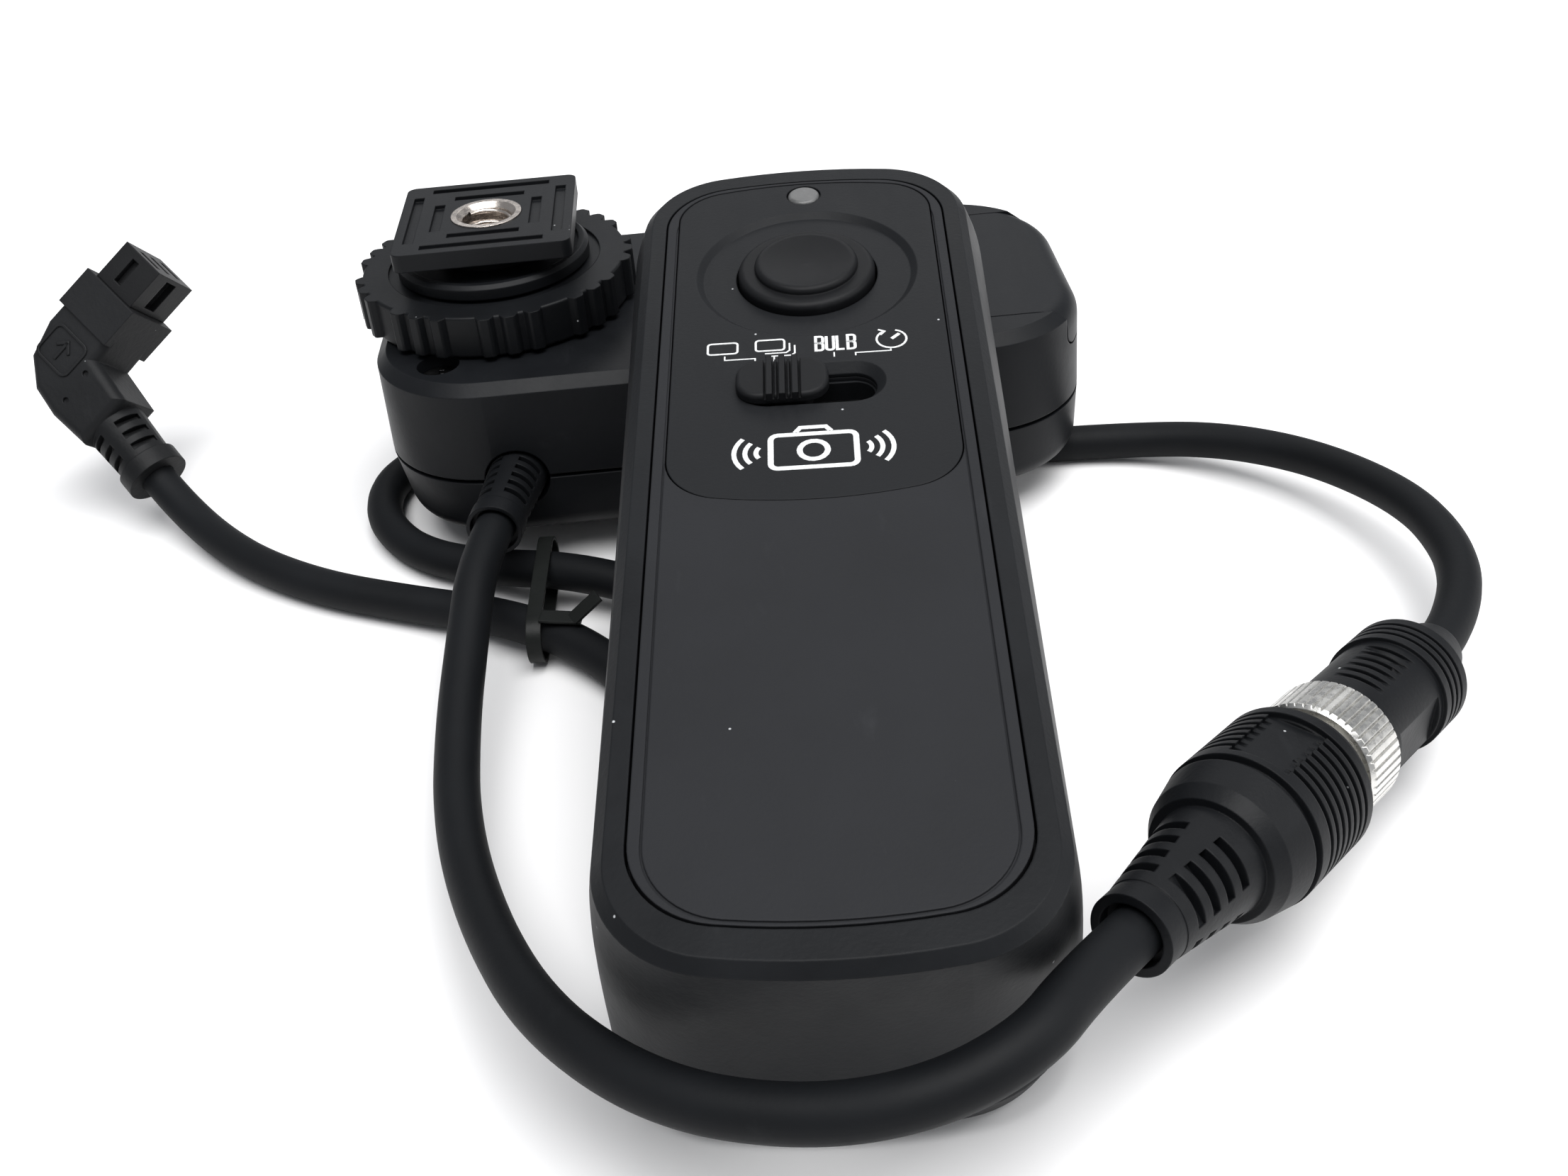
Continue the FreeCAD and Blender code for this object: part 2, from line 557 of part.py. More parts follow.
def tripod_insert():
    """Blind threaded bush pressed into the middle of the foot."""
    body = new_body("tripod_insert")
    pad(body, circle_sketch(body, "insert_rim", "insert_radius", height="foot_top - insert_depth"),
        "insert_depth + 0.12")
    pocket(body, circle_sketch(body, "insert_hole", "insert_bore", height="foot_top + 0.12"), "6.4")
    top = D["foot_top"] + 0.12
    dress(body, "Chamfer", 0.55, lambda p, e: abs(p.z - top) < 0.01 and p.Length < 60
          and math.hypot(p.x, p.y) < D["insert_bore"] + 0.05)
    return keep(body, "tripod_insert", RECEIVER)


def lock_wheel():
    """Locking wheel: groups of three finger teeth with plain rim between them, and a shallow step on top."""
    body = new_body("lock_wheel")
    pad(body, circle_sketch(body, "wheel_disc", "wheel_radius", height="wheel_base"), "wheel_height")
    low, high = D["wheel_base"], D["wheel_base"] + D["wheel_height"]
    dress(body, "Fillet", 0.3, lambda p, e: abs(p.z - high) < 0.01 or abs(p.z - low) < 0.01)
    teeth = new_sketch(body, "wheel_teeth", "wheel_base + 0.3")
    reach = D["wheel_radius"] + D["wheel_rib"]
    tooth = [(D["wheel_radius"] - 0.8, 1.0), (D["wheel_radius"] + 0.05, 0.9), (reach - 0.15, 0.62), (reach, 0.4)]
    outline = [(x, -y) for x, y in tooth] + [(x, y) for x, y in reversed(tooth)]
    for place in (-90.3, -80.3, -70.3):
        turn = FreeCAD.Rotation(V(0, 0, 1), place)
        add_polygon(teeth, [turn.multVec(V(x, y, 0)) for x, y in outline])
    raised = pad(body, teeth, "wheel_height - 0.3")
    groups = body.newObject("PartDesign::PolarPattern", "wheel_tooth_groups")
    groups.Originals = [raised]
    groups.Axis = (teeth, ["N_Axis"])
    groups.Angle = 360
    groups.setExpression("Occurrences", "dims.wheel_groups")
    body.Tip = groups
    DOC.recompute()
    step = circle_sketch(body, "wheel_ledge", "disc_radius + 1.1", height="wheel_base + wheel_height")
    pocket(body, step, "0.35")
    pocket(body, circle_sketch(body, "wheel_hole", "post_radius + post_fit", height="wheel_base"), reverse=True)
    return keep(body, "lock_wheel", RECEIVER)


def pressure_disc():
    """Disc between the wheel and the camera's shoe, with a raised edge."""
    body = new_body("pressure_disc")
    base = "wheel_base + wheel_height + 0.05"
    pad(body, circle_sketch(body, "disc_outer", "disc_radius", height=base), "disc_height")
    top = value_of(base) + D["disc_height"]
    dress(body, "Chamfer", 0.4, lambda p, e: abs(p.z - top) < 0.01)
    pocket(body, circle_sketch(body, "disc_hollow", "disc_radius - 1.0", height=base + " + disc_height"), "0.35")
    pocket(body, circle_sketch(body, "disc_hole", "post_radius + post_fit", height=base), reverse=True)
    return keep(body, "pressure_disc", RECEIVER)


RELIEF_BASE = V(D["relief_x"], -D["rx_front"] + 1.2, D["relief_z"])
RELIEF_WAY = V(-0.17, -1, 0).normalize()


def receiver_cable_relief():
    """Slotted rubber sleeve that leads the cord out of the front wall at the parting line."""
    base, way, length = RELIEF_BASE, RELIEF_WAY, D["relief_length"]
    flange = cylinder("rx_relief_flange", "4.2", "1.4", base - way * 5.1, way)
    neck = cylinder("rx_relief_neck", "2.9", "2.8", base - way * 3.9, way)
    sleeve = cone("rx_relief_sleeve", "3.05", "2.6", "relief_length", base - way * 1.3, way)
    ring = cylinder("rx_relief_ring", "2.8", "2.0", base + way * (length - 1.4), way)
    spin = FreeCAD.Rotation(V(0, 1, 0), way)
    slots = []
    for count in range(5):
        for quarter in (45, 135, 225, 315):
            turn = spin.multiply(FreeCAD.Rotation(V(0, 1, 0), quarter))
            corner = base + way * (1.5 + 1.4 * count) + turn.multVec(V(-1.35, -0.35, 1.95))
            slots.append(box("rx_relief_slot_%d_%d" % (count, quarter), "2.7", "0.7", "2.1", corner, turn))
    hole = cylinder("rx_relief_bore", "cord_radius", "relief_length + 7", base - way * 5.4, way)
    mouth = cylinder("rx_relief_mouth", "mouth_radius", "2", base + way * (length + 0.6 - D["mouth_depth"]), way)
    solid = fuse("rx_relief_solid", [flange, neck, sleeve, ring])
    return keep(cut("rx_relief_cut", solid, fuse("rx_relief_gone", slots + [hole, mouth])),
                "receiver_cable_relief", RECEIVER)


def relief_mouth():
    """Point at the foot of the relief's wide mouth, where the cord comes out."""
    return RECEIVER.multVec(RELIEF_BASE + RELIEF_WAY * (D["relief_length"] + 0.6 - D["mouth_depth"]))


# ---------------------------------------------------------------- transmitter
def tx_outline(body, name, half, top, tail, corner, height="0", tilt=0.0, bow="tx_end_arc"):
    """Outline of the transmitter at a depth."""
    return capsule_sketch(body, name, half, top, tail, corner, bow, height, tilt)


def handset_top_shell():
    """Upper shell: bevelled rim, flaring sides, recess for the face inlay, hollow from below."""
    body = new_body("handset_top_shell")
    sections = [tx_outline(body, "tx_rim_line", "tx_half", "tx_top", "tx_tail", "tx_corner", "- tx_bevel"),
                tx_outline(body, "tx_belly_line", "tx_mid_half", "tx_top + 0.4", "tx_tail - 1", "tx_corner + 1.2",
                           "- tx_belly", 0.5 * D["tx_wedge"]),
                tx_outline(body, "tx_lip_line", "tx_lip_half", "tx_top + 0.3", "tx_tail", "tx_corner + 1.2",
                           "- tx_depth", D["tx_wedge"])]
    loft(body, sections)
    face = tx_outline(body, "tx_face_line", "tx_half", "tx_top", "tx_tail", "tx_corner", "- tx_bevel")
    pad(body, face, "tx_bevel")
    dress(body, "Chamfer", 0.85, lambda p, e: abs(p.z) < 0.01)
    recess = tx_outline(body, "tx_inlay_seat", "inlay_half + inlay_fit", "inlay_top + inlay_fit",
                        "inlay_tail + inlay_fit", "inlay_corner")
    pocket(body, recess, "inlay_thick")
    low = tx_outline(body, "tx_room_low", "tx_lip_half - tx_wall - 0.3", "tx_top - tx_wall", "tx_tail - tx_wall",
                     "tx_corner - tx_wall", "- tx_depth - 0.01", D["tx_wedge"])
    high = tx_outline(body, "tx_room_high", "tx_half - tx_wall", "tx_top - tx_wall", "tx_tail - tx_wall - 0.6",
                      "tx_corner - tx_wall", "- tx_face_floor")
    loft(body, [low, high], cut=True)
    pocket(body, circle_sketch(body, "tx_button_hole", "button_radius + button_hole_fit"))
    stem = rounded_sketch(body, "tx_stem_slot", "- slot_half + 1", "slot_half - 1", "- slot_centre - 1.8",
                          "- slot_centre + 1.8", "1.7")
    pocket(body, stem)
    pocket(body, circle_sketch(body, "tx_lamp_hole", "lamp_radius + 0.12", y="lamp_place"))
    return keep(body, "handset_top_shell", TRANSMITTER)


SCREW_SIDES = (("left", "- 11.0"), ("right", "11.0"))


def handset_base():
    """Thin back half that closes the shell, with rounded lower edges and the battery opening."""
    body = new_body("handset_base")
    plan = tx_outline(body, "tx_base_line", "tx_lip_half - 0.25", "tx_top", "tx_tail - 0.2", "tx_corner + 1.2",
                      "- tx_depth - tx_seam_gap", D["tx_wedge"])
    pad(body, plan, "tx_base_thick", reverse=True, taper=-9.0)
    spin = FreeCAD.Rotation(V(1, 0, 0), D["tx_wedge"])
    floor = -D["tx_depth"] - D["tx_seam_gap"] - D["tx_base_thick"]
    dress(body, "Fillet", 1.5, lambda p, e: abs(spin.inverted().multVec(p).z - floor) < 0.4)
    below = "- tx_depth - tx_seam_gap - tx_base_thick - 0.5"
    opening = box_sketch(body, "tx_door_gap", "- tx_door_half", "tx_door_half", "- tx_door_end",
                         "- tx_door_start", below, tilt=D["tx_wedge"])
    pocket(body, opening, "8", reverse=True)
    for word, across in SCREW_SIDES:
        for part, radius, depth in (("seat", "1.8", "2.1"), ("way", "1.0", "6")):
            hole = circle_sketch(body, "tx_screw_%s_%s" % (part, word), radius, across, "tx_screw_place", below,
                                 tilt=D["tx_wedge"])
            pocket(body, hole, depth, reverse=True)
    return keep(body, "handset_base", TRANSMITTER)


def handset_battery_door():
    """Flat cover in the back, held by its edge tabs."""
    body = new_body("handset_battery_door")
    plate = box_sketch(body, "tx_door_plate", "- tx_door_half + tx_door_fit", "tx_door_half - tx_door_fit",
                       "- tx_door_end + tx_door_fit", "- tx_door_start - tx_door_fit",
                       "- tx_depth - tx_seam_gap - tx_base_thick + 0.05", tilt=D["tx_wedge"])
    pad(body, plate, "1.8")
    for count in range(4):
        groove = box_sketch(body, "tx_door_grip_%d" % count, "- 6", "6", "- 64 + 1.8 * %d" % count,
                            "- 63.1 + 1.8 * %d" % count, "- tx_depth - tx_seam_gap - tx_base_thick + 0.05",
                            tilt=D["tx_wedge"])
        pocket(body, groove, "0.35", reverse=True)
    return keep(body, "handset_battery_door", TRANSMITTER)


def inlay_outline(body, name, shrink, height="0"):
    """Outline of the face inlay, moved inwards by a number."""
    return tx_outline(body, name, "inlay_half - %s" % shrink, "inlay_top - %s" % shrink,
                      "inlay_tail - %s" % shrink, "inlay_corner - %s" % shrink, height)


def slider_slot(body, name, inset):
    """Round-ended slot in which the mode slider's stem travels."""
    return rounded_sketch(body, name, "- slot_half + " + inset, "slot_half - " + inset,
                          "- slot_centre - slot_radius + " + inset, "- slot_centre + slot_radius - " + inset,
                          "slot_radius - 0.01 - " + inset)


def face_plate():
    """Soft-touch inlay that fills the rim and carries the control panel."""
    body = new_body("face_plate")
    pad(body, inlay_outline(body, "plate_line", "0.0"), "inlay_thick - 0.02", reverse=True)
    for word, extra in (("groove", "inlay_line"), ("island", "0")):
        height = "0" if word == "groove" else "- inlay_line"
        line = tx_outline(body, "plate_" + word, "panel_half + panel_fit + " + extra, "panel_top - 1",
                          "inlay_tail - 0.4 + " + extra, "inlay_corner - 0.5", height)
        if word == "groove":
            pocket(body, line, "inlay_line")
        else:
            pad(body, line, "inlay_line")
    seat = capsule_sketch(body, "plate_seat", "panel_half + panel_fit", "panel_top + panel_fit",
                          "panel_tail + panel_fit", "panel_corner", "panel_arc")
    pocket(body, seat, "panel_thick")
    pocket(body, circle_sketch(body, "plate_button_hole", "button_radius + button_hole_fit"))
    pocket(body, slider_slot(body, "plate_slot", "slot_chamfer"))
    pocket(body, circle_sketch(body, "plate_lamp_hole", "lamp_radius + 0.12", y="lamp_place"))
    return keep(body, "face_plate", TRANSMITTER)


def control_panel():
    """Thin plate round the controls, dished around the button."""
    body = new_body("control_panel")
    plan = capsule_sketch(body, "panel_line", "panel_half", "panel_top", "panel_tail", "panel_corner",
                          "panel_arc", "- 0.04")
    pad(body, plan, "panel_thick - 0.06", reverse=True)
    dish = body.newObject("PartDesign::SubtractiveCone", "panel_dish")
    bind(dish, Radius1="dish_floor_radius", Radius2="dish_radius", Height="dish_depth")
    dish.AttachmentOffset = FreeCAD.Placement(V(0, 0, -D["dish_depth"] - 0.03), FreeCAD.Rotation())
    dish.AttachmentSupport = [(plane_of(body, "XY_Plane"), "")]
    dish.MapMode = "FlatFace"
    DOC.recompute()
    pocket(body, circle_sketch(body, "panel_button_hole", "button_radius + button_hole_fit"))
    slot = slider_slot(body, "panel_slot", "slot_chamfer")
    pocket(body, slot)
    face = -0.04
    dress(body, "Chamfer", "slot_chamfer", lambda p, e: abs(p.z - face) < 0.01
          and abs(p.y + D["slot_centre"]) < D["slot_radius"] and abs(p.x) < D["slot_half"])
    pocket(body, circle_sketch(body, "panel_lamp_hole", "lamp_radius + 0.12", y="lamp_place"))
    return keep(body, "control_panel", TRANSMITTER)


def shutter_button():
    """Round button: low outer disc, raised inner ring with a shallow hollow, and a retaining flange."""
    body = new_body("shutter_button")
    pad(body, circle_sketch(body, "button_disc", "button_radius", height="- tx_face_floor - 0.9"),
        "tx_face_floor + 0.9 + button_edge")
    edge, rise = D["button_edge"], D["button_rise"]
    dress(body, "Fillet", 0.6, lambda p, e: abs(p.z - edge) < 0.01)
    pad(body, circle_sketch(body, "button_inner", "button_ring", height="button_edge - 0.2"),
        "button_rise - button_edge + 0.2")
    dress(body, "Fillet", 0.5, lambda p, e: abs(p.z - rise) < 0.01)
    flange = circle_sketch(body, "button_flange", "button_radius + 1.0", height="- tx_face_floor - 0.15")
    pad(body, flange, "0.8", reverse=True)
    hollow = body.newObject("PartDesign::SubtractiveSphere", "button_hollow_ball")
    depth = 0.4
    radius = (D["button_hollow"] ** 2 + depth ** 2) / (2 * depth)
    hollow.Radius = radius
    hollow.AttachmentOffset = FreeCAD.Placement(V(0, 0, rise + radius - depth), FreeCAD.Rotation())
    hollow.AttachmentSupport = [(plane_of(body, "XY_Plane"), "")]
    hollow.MapMode = "FlatFace"
    DOC.recompute()
    return keep(body, "shutter_button", TRANSMITTER)


def mode_knob():
    """Four-position slider: rounded cap with finger ribs across its middle, over a foot in the slot."""
    body = new_body("mode_knob")
    centre = "- slot_half + knob_half + 0.03"
    cap = rounded_sketch(body, "knob_cap", centre + " - knob_half", centre + " + knob_half",
                         "- slot_centre - knob_radius", "- slot_centre + knob_radius", "knob_radius - 0.5", "0.05")
    pad(body, cap, "knob_rise - 0.05")
    rise = D["knob_rise"]
    dress(body, "Fillet", 0.4, lambda p, e: abs(p.z - rise) < 0.02)
    middle = value_of(centre)
    for count in range(3):
        place = middle - 1.1 + 1.1 * count
        rib = box_sketch(body, "knob_rib_%d" % count, "%.3f" % (place - 0.26), "%.3f" % (place + 0.26),
                         "- slot_centre - knob_radius - 0.2", "- slot_centre + knob_radius - 0.1", "0.4")
        pad(body, rib, "knob_rise - 0.1")
        for side in (-1, 1):
            edge = place + side * 0.36
            groove = box_sketch(body, "knob_groove_%d_%d" % (count, side + 1), "%.3f" % (edge - 0.1),
                                "%.3f" % (edge + 0.1), "- slot_centre - 3.2", "- slot_centre + 3.2", "2")
            pocket(body, groove, "1.5")
    foot = rounded_sketch(body, "knob_foot", centre + " - 2.6", centre + " + 2.6", "- slot_centre - 1.7",
                          "- slot_centre + 1.7", "1.6", "- inlay_thick + 0.04")
    pad(body, foot, "inlay_thick + 0.2")
    stem = box_sketch(body, "knob_stem", centre + " - 1.2", centre + " + 1.2", "- slot_centre - 0.75",
                      "- slot_centre + 0.75", "- inlay_thick + 0.04")
    pad(body, stem, "5.0", reverse=True)
    return keep(body, "mode_knob", TRANSMITTER)


def status_lamp():
    """Frosted lamp lens, slightly domed."""
    body = new_body("status_lamp")
    pad(body, circle_sketch(body, "lamp_disc", "lamp_radius", y="lamp_place", height="- 4.6"), "4.66")
    dress(body, "Fillet", 0.35, lambda p, e: abs(p.z - 0.06) < 0.01)
    flange = circle_sketch(body, "lamp_flange", "lamp_radius + 0.5", y="lamp_place", height="- 4.0")
    pad(body, flange, "0.6", reverse=True)
    return keep(body, "status_lamp", TRANSMITTER)


def handset_inside():
    """Board with the press switch and slide switch, button spring, cells and contacts."""
    board = box("tx_board", "23", "32", "1.2", V(-11.5, -21.5, -8.6))
    strip = box("tx_board_strip", "10", "5", "1.2", V(-5, 9.5, -8.6))
    keep(fuse("tx_board_all", [board, strip]), "handset_board", TRANSMITTER)
    switch_can = box("tx_switch_can", "4.4", "4.4", "1.0", V(-2.2, -2.2, -7.38))
    switch_cap = cylinder("tx_switch_cap", "1.2", "0.5", V(0, 0, -6.4))
    keep(fuse("tx_switch", [switch_can, switch_cap]), "shutter_switch", TRANSMITTER)
    rail_box = box("tx_slide_box", "12", "4.4", "1.6", V(-6, -19.2, -7.38))
    rail_gap = box("tx_slide_gap", "9.6", "2.6", "1.2", V(-4.8, -18.3, -6.9))
    keep(cut("tx_slide", rail_box, rail_gap), "slide_switch", TRANSMITTER)
    outer = cylinder("tx_spring_outer", "3.9", "2.8", V(0, 0, -7.38))
    inner = cylinder("tx_spring_inner", "3.3", "3.0", V(0, 0, -7.48))
    keep(cut("tx_spring", outer, inner), "button_spring", TRANSMITTER)
    lean = 0.5 * D["tx_wedge"]
    way = FreeCAD.Rotation(V(1, 0, 0), lean).multVec(V(0, 1, 0))
    for name, across, sense in (("handset_cell_left", -5.6, 1), ("handset_cell_right", 5.6, -1)):
        dry_cell(name, TRANSMITTER, V(across, -47.0, -10.6), way * sense)
    spin = FreeCAD.Rotation(V(1, 0, 0), lean)
    frame = FreeCAD.Placement(V(0, -47.0, -10.6), spin)
    plates = [box("tx_plate_low", "20", "0.4", "8", frame.multVec(V(-10, -23.3, -4)), spin),
              box("tx_plate_high", "20", "0.4", "8", frame.multVec(V(-10, 22.9, -4)), spin)]
    keep(fuse("tx_plates", plates), "handset_contacts", TRANSMITTER)


def handset_screws():
    """Two screws that hold the back half near its upper end."""
    spin = FreeCAD.Rotation(V(1, 0, 0), D["tx_wedge"])
    back = FreeCAD.Placement(V(0, 0, -D["tx_depth"] - D["tx_seam_gap"] - D["tx_base_thick"]), spin)
    up = spin.multVec(V(0, 0, 1))
    for word, side in SCREW_SIDES:
        across = value_of(side)
        base = back.multVec(V(across, D["tx_screw_place"], 0.6))
        head = cylinder("tx_head_" + word, "1.7", "0.9", base, up)
        shank = cylinder("tx_shank_" + word, "0.9", "3.4", base, up)
        corner = back.multVec(V(across - 1.1, D["tx_screw_place"] - 0.225, 0.5))
        slot = box("tx_bar_" + word, "2.2", "0.45", "0.6", corner, spin)
        keep(cut("tx_screw_cut_" + word, fuse("tx_screw_" + word, [head, shank]), slot),
             "handset_screw_" + word, TRANSMITTER)


# ---------------------------------------------------------------- inline connector (axis along X)
def ring_grooves(name, places, radius, depth, width):
    """Set of square ring grooves cut into a turned body."""
    rings = []
    for index, place in enumerate(places):
        outer = cylinder("%s_out_%d" % (name, index), radius + 1.0, width, V(place, 0, 0), V(1, 0, 0))
        inner = cylinder("%s_in_%d" % (name, index), radius - depth, width + 0.2, V(place - 0.1, 0, 0), V(1, 0, 0))
        rings.append(cut("%s_ring_%d" % (name, index), outer, inner))
    return rings


def relief_windows(name, places, radius, depth, width, half_width):
    """Pairs of slots above and below the axis, and at both sides, in a strain relief."""
    slots = []
    for index, place in enumerate(places):
        for quarter in range(2):
            spin = FreeCAD.Rotation(V(1, 0, 0), 45 + 90 * quarter)
            for side in (-1, 1):
                low = radius - depth if side > 0 else -radius - 1.0
                corner = spin.multVec(V(place, -half_width, low))
                label = "%s_%d_%d_%d" % (name, index, quarter, side + 1)
                slots.append(box(label, width, 2 * half_width, depth + 1.0, corner, spin))
    return slots


def connector_socket_body():
    """Rubber overmould of the socket half: ring, slotted sleeve, domed shoulder, ribbed grip and two flats."""
    turned = along_x("socket", [(2.0, 3.1, 3.1), (8.8, 3.15, 4.3), (1.2, 4.9, 5.6), (2.6, 5.6, 6.15),
                                (0.7, 5.7, 5.7), (8.4, 6.3, 6.3), (0.8, 5.8, 5.8)])
    rings = ring_grooves("socket_rib", [16.6 + 0.95 * count for count in range(7)], 6.3, 0.5, 0.45)
    flats = []
    for side in (-1, 1):
        low = 5.55 if side > 0 else -7.55
        flats.append(box("socket_flat_%d" % (side + 1), 6.6, 4.6, 2.0, V(16.0, -2.3, low)))
    slots = relief_windows("socket_slot", [3.1 + 1.65 * count for count in range(4)], 3.3, 0.75, 0.8, 1.9)
    bore = cylinder("socket_bore", "cord_radius", "12", V(-0.5, 0, 0), V(1, 0, 0))
    mouth = cylinder("socket_mouth", "mouth_radius", "mouth_depth + 0.5", V(-0.5, 0, 0), V(1, 0, 0))
    room = cylinder("socket_room", 4.4, 13.2, V(11.5, 0, 0), V(1, 0, 0))
    gone = fuse("socket_gone", rings + flats + slots + [bore, mouth, room])
    return keep(cut("socket_cut", turned, gone), "connector_socket_body", JOINT)


def connector_socket_insert():
    """Threaded socket shell with its insulator and contact holes."""
    barrel = cylinder("insert_barrel", 4.35, 19.0, V(12.0, 0, 0), V(1, 0, 0))
    collar = cylinder("insert_collar", 4.9, 1.2, V(24.6, 0, 0), V(1, 0, 0))
    mouth = cylinder("insert_mouth", 3.3, 6.0, V(26.0, 0, 0), V(1, 0, 0))
    return keep(cut("insert_cut", fuse("insert_all", [barrel, collar]), mouth), "connector_socket_insert", JOINT)


def coupling_ring():
    """Knurled nickel nut that screws the two halves together."""
    body = new_body("coupling_ring")
    pad(body, circle_sketch(body, "nut_outer", "5.35"), "5.0")
    low, high = 0.0, 5.0
    dress(body, "Chamfer", 0.3, lambda p, e: abs(p.z - low) < 0.01 or abs(p.z - high) < 0.01)
    notch = new_sketch(body, "nut_notch", "5.1")
    add_polygon(notch, [V(5.15, 0, 0), V(5.6, -0.26, 0), V(5.6, 0.26, 0)])
    groove = pocket(body, notch, "6")
    knurl = body.newObject("PartDesign::PolarPattern", "nut_knurl")
    knurl.Originals = [groove]
    knurl.Axis = (notch, ["N_Axis"])
    knurl.Angle = 360
    knurl.Occurrences = 48
    body.Tip = knurl
    DOC.recompute()
    pocket(body, circle_sketch(body, "nut_bore", "4.45", height="5.1"))
    spin = FreeCAD.Rotation(V(0, 1, 0), 90)
    return keep(body, "coupling_ring", JOINT.multiply(FreeCAD.Placement(V(26.3, 0, 0), spin)))


def connector_plug_body():
    """Overmould of the plug half: ribbed grip with flats, flange rings and a tapered ring-ribbed boot."""
    turned = along_x("plughalf", [(9.3, 4.8, 4.8), (4.2, 5.15, 5.15), (5.3, 4.1, 2.75)], start=31.4)
    rings = ring_grooves("plughalf_flange", [41.6 + 0.95 * count for count in range(3)], 5.15, 0.45, 0.42)
    rings += ring_grooves("plughalf_boot", [46.0 + 1.15 * count for count in range(4)], 3.6, 0.35, 0.5)
    ribs = []
    for count in range(6):
        for side in (-1, 1):
            label = "plughalf_rib_%d_%d" % (count, side + 1)
            low = -5.6 if side < 0 else 4.35
            ribs.append(box(label, 0.55, 5.2, 1.25, V(33.4 + 1.15 * count, -2.6, low)))
    flats = []
    for side in (-1, 1):
        low = 4.3 if side > 0 else -5.3
        flats.append(box("plughalf_flat_%d" % (side + 1), 7.4, 1.0, 4.2, V(32.6, low, -2.1)))
    bore = cylinder("plughalf_bore", "cord_radius", "8", V(43.5, 0, 0), V(1, 0, 0))
    room = cylinder("plughalf_room", 3.6, 11, V(31.0, 0, 0), V(1, 0, 0))
    gone = fuse("plughalf_gone", rings + ribs + flats + [bore, room])
    return keep(cut("plughalf_cut", turned, gone), "connector_plug_body", JOINT)


def connector_pins():
    """Insulator of the plug half with its three contact pins."""
    core = cylinder("pin_core", 3.2, 9.5, V(31.2, 0, 0), V(1, 0, 0))
    pins = [core]
    for count in range(3):
        angle = math.radians(90 + 120 * count)
        base = V(27.6, 1.6 * math.cos(angle), 1.6 * math.sin(angle))
        pins.append(cylinder("pin_%d" % count, 0.4, 4.0, base, V(1, 0, 0)))
    return keep(fuse("pins_all", pins), "connector_pins", JOINT)


# ---------------------------------------------------------------- camera plug
def plug_placement():
    """Plug frame: X towards the tip, Z out of the marked face."""
    across = PLUG_FACE.cross(PLUG_TIP_WAY)
    return FreeCAD.Placement(PLUG_ELBOW, FreeCAD.Rotation(PLUG_TIP_WAY, across, PLUG_FACE, "XZY"))


def polygon_sketch(body, name, corners, height="0"):
    """Closed sketch through a few corner points."""
    sketch = new_sketch(body, name, height)
    add_polygon(sketch, [V(x, y, 0) for x, y in corners])
    return sketch


def camera_plug_body():
    """Moulded elbow with a collar step, a slotted sleeve and a closing ring."""
    body = new_body("camera_plug_elbow")
    outline = [(-4.7, -9.8), (2.1, -9.8), (3.0, -4.2), (6.0, -4.1), (6.0, 3.5), (2.4, 3.5), (-1.8, 2.2),
               (-4.2, -0.9), (-4.9, -4.6)]
    pad(body, polygon_sketch(body, "elbow_line", outline, "- 3.9"), "7.8")
    dress(body, "Fillet", 1.1, lambda p, e: abs(abs(p.z) - 3.9) < 0.01)
    collar = box_sketch(body, "collar_line", "5.0", "9.9", "- 4.1", "3.7", "- 4.2")
    pad(body, collar, "8.4")
    for word, across, along in (("a", 1.2, -4.5), ("b", -2.5, -4.9)):
        pocket(body, circle_sketch(body, "elbow_dot_" + word, "0.35", "%.1f" % across, "%.1f" % along, "3.9"),
               "0.3")
    way = V(-0.09, -1, 0)
    way.normalize()
    base = V(-1.5, -9.2, 0)
    sleeve = cone("plug_sleeve", 3.35, 3.0, 6.4, base, way)
    ring = cylinder("plug_ring", 3.5, 2.0, base + way * 6.2, way)
    bore = cylinder("plug_bore", "cord_radius", 9.0, base, way)
    spin = FreeCAD.Rotation(V(1, 0, 0), way)
    slots = []
    for count in range(3):
        for quarter in range(2):
            turn = spin.multiply(FreeCAD.Rotation(V(1, 0, 0), 45 + 90 * quarter))
            for side in (-1, 1):
                low = 2.35 if side > 0 else -4.1
                corner = base + way * (1.3 + 1.6 * count) + turn.multVec(V(0, -1.5, low))
                label = "plug_slot_%d_%d_%d" % (count, quarter, side + 1)
                slots.append(box(label, 0.75, 3.0, 1.75, corner, turn))
    shell = fuse("plug_shell", [body, sleeve, ring])
    return keep(cut("plug_cut", shell, fuse("plug_gone", slots + [bore])), "camera_plug_body", plug_placement())


def camera_plug_tip():
    """Rectangular tip with keying grooves along its faces and three contact mouths."""
    block = box("tip_block", 5.1, 5.6, 7.2, V(9.92, -2.95, -3.6))
    keys = [box("tip_key_face", 3.2, 1.0, 0.8, V(10.9, -0.3, 2.85)),
            box("tip_key_side", 3.9, 0.9, 2.0, V(10.6, -3.0, -0.6)),
            box("tip_key_back", 3.2, 1.0, 0.8, V(10.9, -0.6, -3.7))]
    for count in range(3):
        keys.append(box("tip_mouth_%d" % count, 3.0, 3.0, 0.9, V(12.1, -1.6, -2.6 + 2.15 * count)))
    return keep(cut("tip_cut", block, fuse("tip_keys", keys)), "camera_plug_tip", plug_placement())


def camera_plug_contacts():
    """Three flat spring contacts inside the mouths of the tip."""
    blades = [box("blade_%d" % count, 2.6, 2.0, 0.3, V(12.1, -1.1, -2.6 + 2.15 * count)) for count in range(3)]
    return keep(fuse("blades", blades), "camera_plug_contacts", plug_placement())


